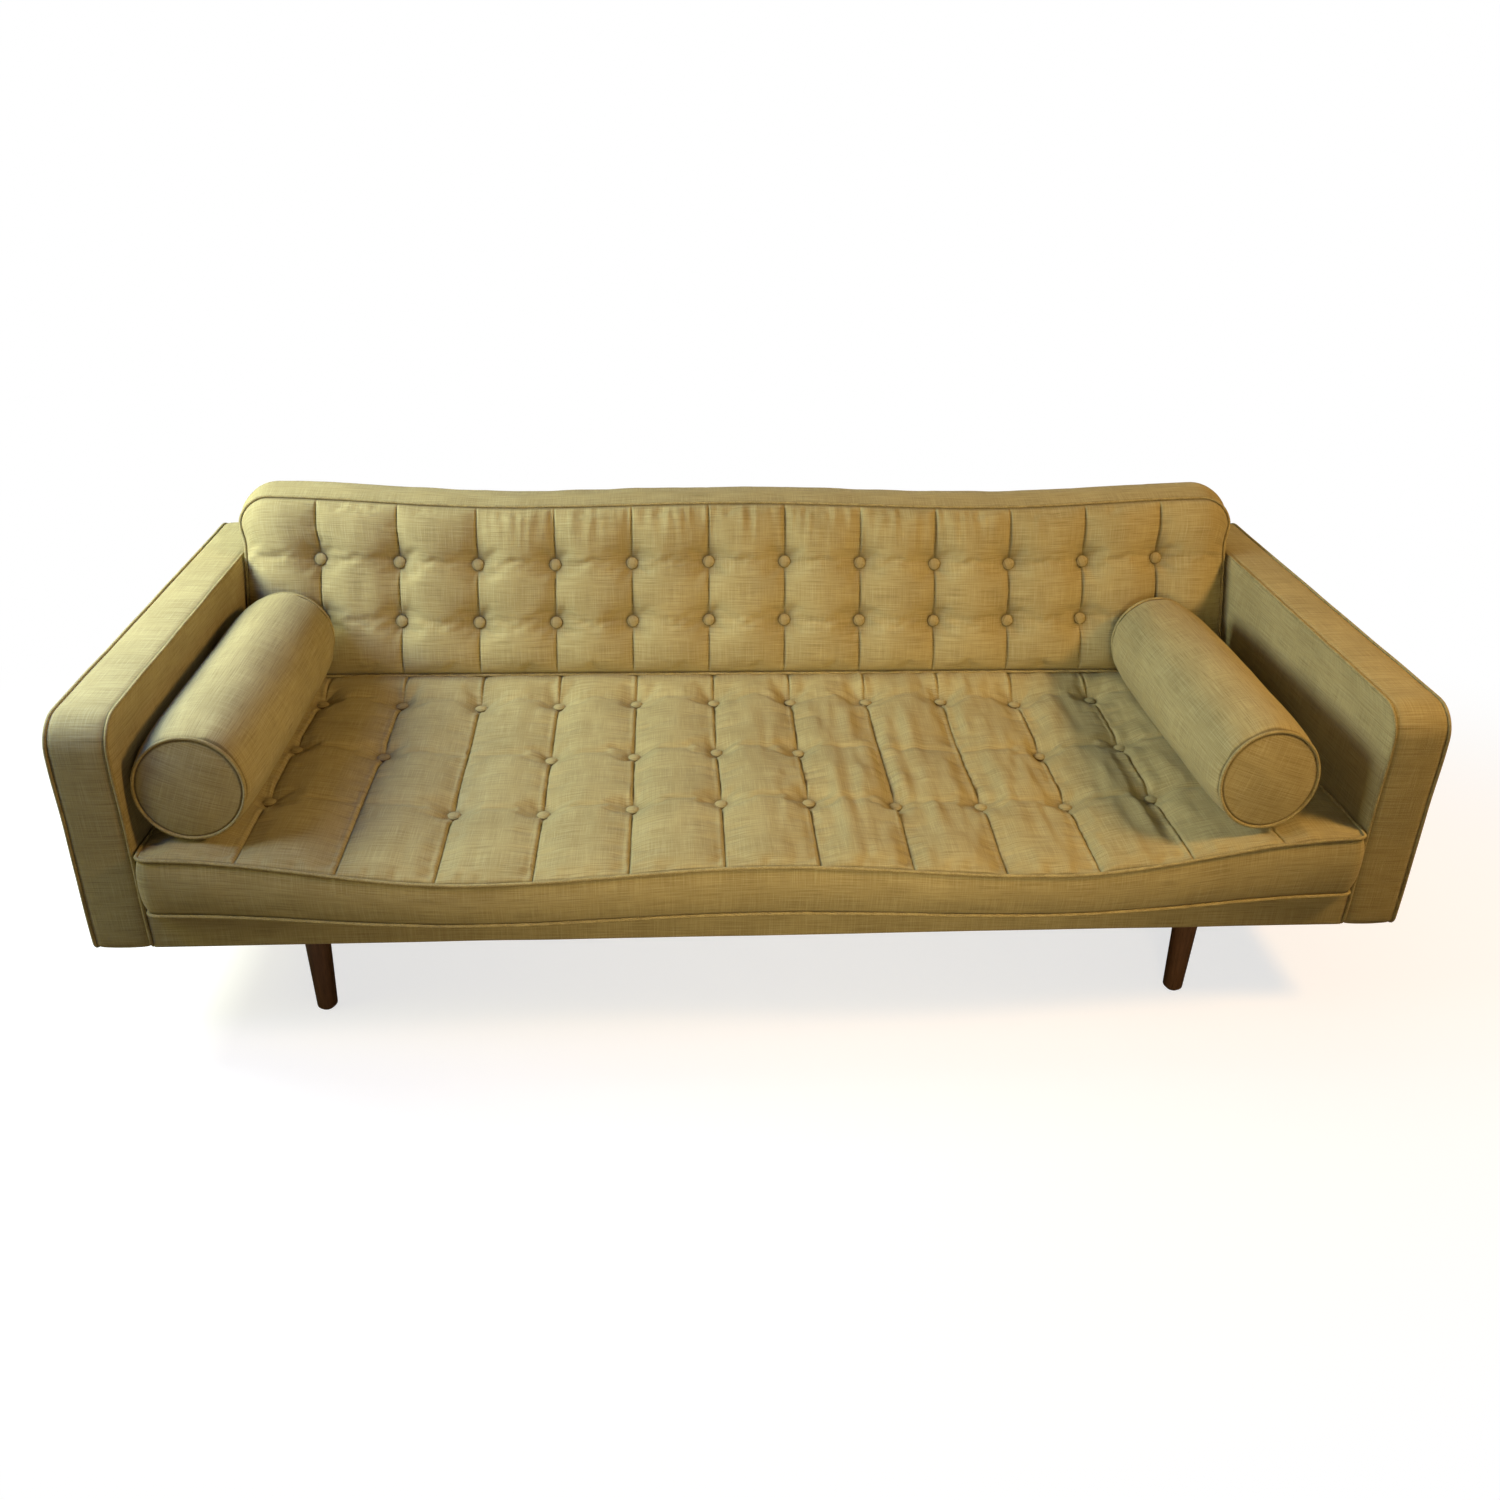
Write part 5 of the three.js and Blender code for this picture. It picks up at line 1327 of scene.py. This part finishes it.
places = seated(face, x, y, seat_buttons, (0, 0, 1), SEAT_BUTTON_SINK)
add_buttons("seat_buttons", places, [(0, 0, 1)] * len(places), "seat_cushion", 61)

# The back cushion leans on the raked back. It is made like the seat, with two rows of buttons,
# a boxed edge that swells above the arms, and piping along its front and its rear seam.
BACK_FOOT_THICKNESS = 0.1464
BACK_HEAD_THICKNESS = 0.1357
BACK_HEAD = 0.735
BACK_HEAD_SAG = 0.02
BACK_HEAD_FALL = 0.013
BACK_FOOT_LIFT = 0.0083
BACK_PUFF = 0.006
BACK_GROOVE = (0.0016, 0.0012, 0.0042, 0.0028)
BACK_PUCKERS = 0.006
BACK_WRINKLES = 0.0012
BACK_EDGE_WAVES = 0.0022
BACK_ROW_SHARES = (0.2947, 0.6233)
BACK_ROW_LIFTS = (0.010, 0.015)
BACK_SEAM_RISE = 0.014
BACK_CROWN = 0.0145
BACK_TUFT = 0.016
BACK_ROLL = 0.06
BACK_CORNER = 0.055
BACK_FOOT_CORNER = 0.02
BACK_INSET = 0.012
ARM_SWELL = 0.009
SWELL_HEIGHT = 0.05
SWELL_START = 0.0166
SWELL_POWER = 4
BOXING_CROWN = 0.018
BOXING_ARM_CROWN = 0.005
BACK_ROW_STEPS = (11, 12, 13)
BACK_BAND_STEPS = 11
BACK_HELD = 0.02
BACK_EDGE_WAVE_SIZE = 0.06
BACK_WAVE_SIZE = 0.13
BACK_WRINKLE_SIZE = (0.03, 0.07)
PUCKER_SIZE = (0.0085, 0.09)
GATHER_REACH = 0.05

arm_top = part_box("arm_cover_left")[1].z
back_foot = SEAT_SHELF + CLOTH_GAP + BACK_FOOT_LIFT
foot_y = inside_back(back_foot) - BACK_FOOT_THICKNESS
head_y = inside_back(BACK_HEAD) - BACK_HEAD_THICKNESS
back_slope = (head_y - foot_y) / (BACK_HEAD - back_foot)
lean = math.atan(back_slope)
back_out = np.array([0, -math.cos(lean), math.sin(lean)])
stretch = math.hypot(1, BACK_RAKE)
BACK_SEAMS = seam_places(SEAT_HALF, 0)


def back_top(x):
    return BACK_HEAD - BACK_HEAD_SAG * pressed(x, SEAT_HALF)


def back_top_edge(x):
    return back_top(x) - corner_inset(x, SEAT_HALF, BACK_CORNER)


def back_foot_edge(x):
    return back_foot + corner_inset(x, SEAT_HALF, BACK_FOOT_CORNER)


def back_row(x, k):
    row = back_foot + BACK_ROW_SHARES[k] * (BACK_HEAD - back_foot)
    return row + BACK_ROW_LIFTS[k] * (1 - pressed(x, SEAT_HALF))


def above_arms(z):
    return ease((z - arm_top - SWELL_START) / SWELL_HEIGHT)


back_buttons = [(x, float(back_row(x, k))) for x in BACK_SEAMS for k in (0, 1)]


def back_surface(x, z, extra=0.0):
    near_row = np.minimum(np.abs(z - back_row(x, 0)), np.abs(z - back_row(x, 1)))
    crease = 1 - CREASE_SHARE * np.exp(-((near_row / CREASE_REACH) ** 2))
    crown = BACK_CROWN * panel_crown(x, SEAT_HALF, BACK_SEAMS) * crease
    inner = BACK_SEAM_RISE + crown - BACK_TUFT * drawn_in(back_buttons, x, z, TUFT_REACH) + extra
    to_edge = np.minimum(z - back_foot_edge(x), back_top_edge(x) - z)
    proud = rounded(SEAT_HALF - np.abs(x), BACK_ROLL) * rounded(to_edge, BACK_ROLL) * inner
    spread = 1 + (ARM_SWELL / SEAT_HALF) * above_arms(z) * (np.abs(x) / SEAT_HALF) ** SWELL_POWER
    y = foot_y + back_slope * (z - back_foot)
    return np.dstack((x * spread, y, z)) + back_out * proud[..., None]


def back_face(columns, shares, extra=None):
    x = columns[None, :]
    foot, head = back_foot_edge(x), back_top_edge(x)
    low_row, high_row = back_row(x, 0), back_row(x, 1)
    parts = []
    for k, (a, b) in enumerate(((foot, low_row), (low_row, high_row), (high_row, head))):
        parts.append(a + (b - a) * shares[k][:, None])
    z = np.concatenate(parts)
    x = np.repeat(x, len(z), axis=0)
    relief = 0.0 if extra is None else extra(x, z)
    return back_surface(x, z, relief), x, z


def back_band(edge, shares):
    share = (edge[:, 2] - back_foot) / (back_top(edge[:, 0]) - back_foot)
    rear_z = edge[:, 2] - share * BACK_HEAD_FALL
    rear_y = inside_back(rear_z) - (CLOTH_GAP + WELT_STAND) * stretch
    rear = np.column_stack((edge[:, 0], rear_y, rear_z))
    rings = []
    for part in shares:
        ring = edge + (rear - edge) * part
        side = outward_of(ring, back_out)
        free = np.maximum(side[:, 2], above_arms(ring[:, 2]))
        resting = np.maximum(0, -side[:, 2])
        crown = BOXING_ARM_CROWN + free * (BOXING_CROWN - BOXING_ARM_CROWN) + resting * BACK_FOOT_LIFT
        ring = ring + side * (math.sin(math.pi * part) ** 2 * crown)[:, None]
        ring[:, 2] = np.maximum(ring[:, 2], SEAT_SHELF + CLOTH_GAP)
        rings.append(ring)
    under = rear - outward_of(rear, back_out) * BACK_INSET
    under[:, 1] = inside_back(under[:, 2]) - CLOTH_GAP * stretch
    return rings, rear, under


def row_parts(spaced):
    """The shares of the three parts of the back's height; only the last keeps its end."""
    parts = [spaced(np.linspace(0, 1, count + 1)) for count in BACK_ROW_STEPS]
    return [parts[0][:-1], parts[1][:-1], parts[2]]


def back_relief(x, z):
    to_top = back_top_edge(x) - z
    gathered = np.exp(-((to_top / GATHER_REACH) ** 2)) * ease((x + 0.65) / 0.25) * ease((0.75 - x) / 0.3)
    puckers = drift_over(x, z, PUCKER_SIZE, 25) * BACK_PUCKERS * gathered
    narrow = drift_over(x, z, BACK_WRINKLE_SIZE, 27) * BACK_WRINKLES
    away = 1 - drawn_in(back_buttons, x, z, CHANNEL_FADE)
    channels = channel_relief(x, BACK_SEAMS, *BACK_GROOVE) * away
    rows = sum(row_folds(x, z - back_row(x, k), 95 + k, BACK_ROW_FOLD) for k in (0, 1))
    broad = drift_over(x, z, BACK_WAVE_SIZE, 21) * BROAD_WAVES
    return channels + broad + puckers + narrow + rows + button_folds(back_buttons, x, z, 29)


columns = skin_columns(SEAT_HALF, BACK_SEAMS, BACK_CORNER)
band_shares = np.linspace(0, 1, BACK_BAND_STEPS)[1:]
face, x, z = back_face(columns, row_parts(np.array))
rings, rear, under = back_band(edge_of(face), band_shares)
face_moved, band_moved = filled(
    "back_filling", face, rings, under, x, z, BACK_SEAMS, back_buttons, arm_top + BACK_HELD, BACK_PUFF
)
face, x, z = back_face(with_middles(columns), row_parts(with_middles), back_relief)
face = face + face_moved
edge = edge_of(face)
rings, rear, under = back_band(edge, finer(band_shares))
for k, (share, ring) in enumerate(zip(finer(band_shares), rings)):
    soft = drift(ring, BACK_EDGE_WAVE_SIZE, 33) * BACK_EDGE_WAVES * math.sin(math.pi * share)
    soft = soft * np.clip(above_arms(ring[:, 2]), 0, 1)
    rings[k] = ring + band_moved[k] + outward_of(ring, back_out) * soft[:, None]
# Shade painted into the back's channels and round its buttons.
painted_shade = painted_shade_lines(x, z, BACK_SEAMS, back_buttons, BACK_CHANNEL_DARK)
mesh = boxed_mesh("back_cushion_linen", face, rings + [under], painted_shade=painted_shade)
back_cushion_linen = piece("back_cushion_linen", mesh, "back_cushion", LINEN, ["back_cushion"])
for level_name, loop, seed in (("front", edge, 55), ("rear", rear, 57)):
    path = loop + outward_of(loop, back_out) * WELT_STAND
    path += back_out * (drift(path, PIPING_WANDER_SIZE, seed) * PIPING_WANDER)[:, None]
    add_piping(f"back_piping_{level_name}", path, "back_cushion", [f"back_welt_{level_name}"])

places = seated(face, x, z, back_buttons, back_out, BACK_BUTTON_SINK)
add_buttons("back_buttons", places, [tuple(back_out)] * len(places), "back_cushion", 63)

# Two loose bolsters lie along the arms: stuffed rolls of linen with piped, slightly domed ends.
BOLSTER_END = 0.087
BOLSTER_RADIUS = 0.098
BOLSTER_LENGTH = 0.6
BOLSTER_SWELL = 0.13
BOLSTER_CROWN = 0.007
BOLSTER_BEVEL = 0.008
BOLSTER_SIDES = 128
CAP_TURN = math.radians(20)
END_RINGS = 14
SWELL_RINGS = 18
MIDDLE_RINGS = 40
BOLSTER_GATHERS = 0.0028
BOLSTER_LUMPS = 0.0018
BOLSTER_CAP_WAVES = 0.0012
BOLSTER_CAP_WAVE_SIZE = 0.05
BOLSTER_GATHER_SIZE = (0.02, 0.07, 0.02)
BOLSTER_GATHER_REACH = 0.035
BOLSTER_GATHER_ROLL = 0.012
BOLSTER_FOLD_SIZE = (0.05, 0.2, 0.05)
BOLSTER_LUMP_SIZE = 0.09
BOLSTER_LUMP_ROLL = 0.06
BOLSTER_WELT_WAVE_SIZE = 0.04
BOLSTER_CAP_SHIFT = 1.3
BOLSTER_LEFT_SHIFT = 2.1
BOLSTER_GAP = 0.003187
BOLSTER_SEAM = 0.0011
BOLSTER_WELT_OUT = 0.0004
BOLSTER_WELT_STEPS = 180
BOLSTER_PLACES = {
    "left": {"front": 0.02, "gap": 0.0005, "turn": 0, "dip": 0.6, "skew": 0, "slant": 0.1},
    "right": {"front": 0.01, "gap": 0.0808, "turn": -1, "dip": 1.6, "skew": 0.11, "slant": 0.08},
}


def add_bolster(side, sign):
    spec = BOLSTER_PLACES[side]
    seed = 71 if sign < 0 else 83
    half = BOLSTER_LENGTH / 2
    dome = BOLSTER_END - BOLSTER_BEVEL
    shares = np.linspace(0, 1, SWELL_RINGS)
    cap_radii = np.linspace(0.02, 1, END_RINGS) * dome
    cap_along = half + BOLSTER_CROWN * (1 - (cap_radii / dome) ** 2)
    bend = np.linspace(0, math.pi / 2, 6)[1:-1]
    swell = BOLSTER_END + rounded(shares**1.5, 1.0) * (BOLSTER_RADIUS - BOLSTER_END)
    swell_along = half - BOLSTER_BEVEL - shares**1.5 * (BOLSTER_SWELL - BOLSTER_BEVEL)
    rear_radii = np.concatenate((cap_radii, dome + BOLSTER_BEVEL * np.sin(bend), swell))
    rear_along = np.concatenate((cap_along, half - BOLSTER_BEVEL * (1 - np.cos(bend)), swell_along))
    middle = np.linspace(rear_along[-1], -rear_along[-1], MIDDLE_RINGS)[1:-1]
    radii = np.concatenate((rear_radii, np.full(len(middle), BOLSTER_RADIUS), rear_radii[::-1]))
    along = np.concatenate((rear_along, middle, -rear_along[::-1]))
    angles = np.arange(BOLSTER_SIDES) * 2 * math.pi / BOLSTER_SIDES
    radius, angle = np.meshgrid(radii, angles, indexing="ij")
    y = np.repeat(along[:, None], BOLSTER_SIDES, axis=1)
    is_side = (radius > dome) & (np.abs(y) < half - BOLSTER_BEVEL * 0.5)
    to_end = half - np.abs(y)
    ring = np.dstack((np.cos(angle) * BOLSTER_RADIUS, y, np.sin(angle) * BOLSTER_RADIUS)).reshape(-1, 3)
    gathers = drift(ring, BOLSTER_GATHER_SIZE, seed).reshape(y.shape)
    folds = drift(ring, BOLSTER_FOLD_SIZE, seed + 1).reshape(y.shape)
    lumps = drift(ring, BOLSTER_LUMP_SIZE, seed + 2).reshape(y.shape)
    fading = np.exp(-np.clip(to_end, 0, 1) / BOLSTER_GATHER_REACH)
    proud = gathers * BOLSTER_GATHERS * fading * rounded(to_end, BOLSTER_GATHER_ROLL)
    proud += (folds * BOLSTER_LUMPS + lumps * BOLSTER_LUMPS) * rounded(to_end, BOLSTER_LUMP_ROLL)
    radius = radius + np.where(is_side, proud, 0)
    x, z = radius * np.cos(angle), radius * np.sin(angle)
    cap = np.sign(y) * drift_over(x, z, BOLSTER_CAP_WAVE_SIZE, seed + 3) * BOLSTER_CAP_WAVES
    y = y + np.where(is_side, 0, cap * (radius < dome))
    turn, dip = math.radians(spec["turn"]), math.radians(spec["dip"])
    stand = Matrix.Rotation(turn, 3, "Z") @ Matrix.Rotation(-dip, 3, "X")
    arm_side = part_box(f"arm_cover_{side}")[0 if sign > 0 else 1].x * sign
    centre_x = sign * (arm_side - BOLSTER_GAP - spec["gap"] - BOLSTER_RADIUS)
    centre = np.array([centre_x, arm_front + spec["front"] + half, 0.0])

    def placed(points):
        lean = (2 * points[:, 1] / BOLSTER_LENGTH) ** 2
        leaned = points.copy()
        leaned[:, 1] += lean * (spec["skew"] * points[:, 0] + spec["slant"] * points[:, 2])
        return leaned @ np.array(stand).T + centre

    points = placed(np.dstack((x, y, z)).reshape(-1, 3))
    count, sides = x.shape
    box_low, box_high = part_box(f"bolster_{side}")
    lift = np.array([0, 0, (box_low.z + box_high.z - points[:, 2].min() - points[:, 2].max()) / 2])
    maps = []
    for j in range(count - 1):
        on_cap = radii[j] <= dome and radii[j + 1] <= dome
        for k in range(sides):
            for r, c in ((j, k), (j, k + 1), (j + 1, k + 1), (j + 1, k)):
                a = CAP_TURN + c * angles[1]
                if on_cap:
                    shift = BOLSTER_CAP_SHIFT * (j > count / 2)
                    maps.append((radii[r] * math.cos(a) + shift, radii[r] * math.sin(a)))
                else:
                    shift = BOLSTER_LEFT_SHIFT * (side == "left")
                    maps.append((along[r] + shift, c * angles[1] * BOLSTER_RADIUS))
    turned = CAP_TURN + angles
    maps += [(radii[0] * math.cos(a), radii[0] * math.sin(a)) for a in turned[::-1]]
    maps += [(radii[0] * math.cos(a) + BOLSTER_CAP_SHIFT, radii[0] * math.sin(a)) for a in turned]
    # Shade is painted on the side cloth next to each piped end.
    at_seam = (radii > dome + BOLSTER_BEVEL * 0.3) & (np.abs(along) > half - BOLSTER_BEVEL * 1.05)
    dark = np.repeat(np.where(at_seam, SEAM_PAINTED_SHADE, 0.0), sides).astype(np.float32)
    name = "bolster_linen_" + side
    faces = ring_faces(count, sides) + end_faces(count, sides)
    mesh = cloth_mesh(name, points + lift, faces, maps, dark)
    made = piece(name, mesh, f"bolster_{side}", LINEN, [f"bolster_{side}"])
    welt_radius = BOLSTER_END - BOLSTER_SEAM + BOLSTER_WELT_OUT
    a = np.arange(BOLSTER_WELT_STEPS) * 2 * math.pi / BOLSTER_WELT_STEPS
    for end, at in (("front", -half + BOLSTER_SEAM), ("rear", half - BOLSTER_SEAM)):
        loop = np.column_stack((welt_radius * np.cos(a), np.full(len(a), at), welt_radius * np.sin(a)))
        loop[:, 1] += drift(loop, BOLSTER_WELT_WAVE_SIZE, seed + 5) * PIPING_WANDER
        path = placed(loop) + lift
        name = f"bolster_piping_{side}_{end}"
        add_piping(name, path, f"bolster_{side}", [f"bolster_welt_{side}_{end}"], ARM_PIPING_RADIUS)


add_bolster("left", -1)
add_bolster("right", 1)
bpy.data.objects.remove(BUTTON)
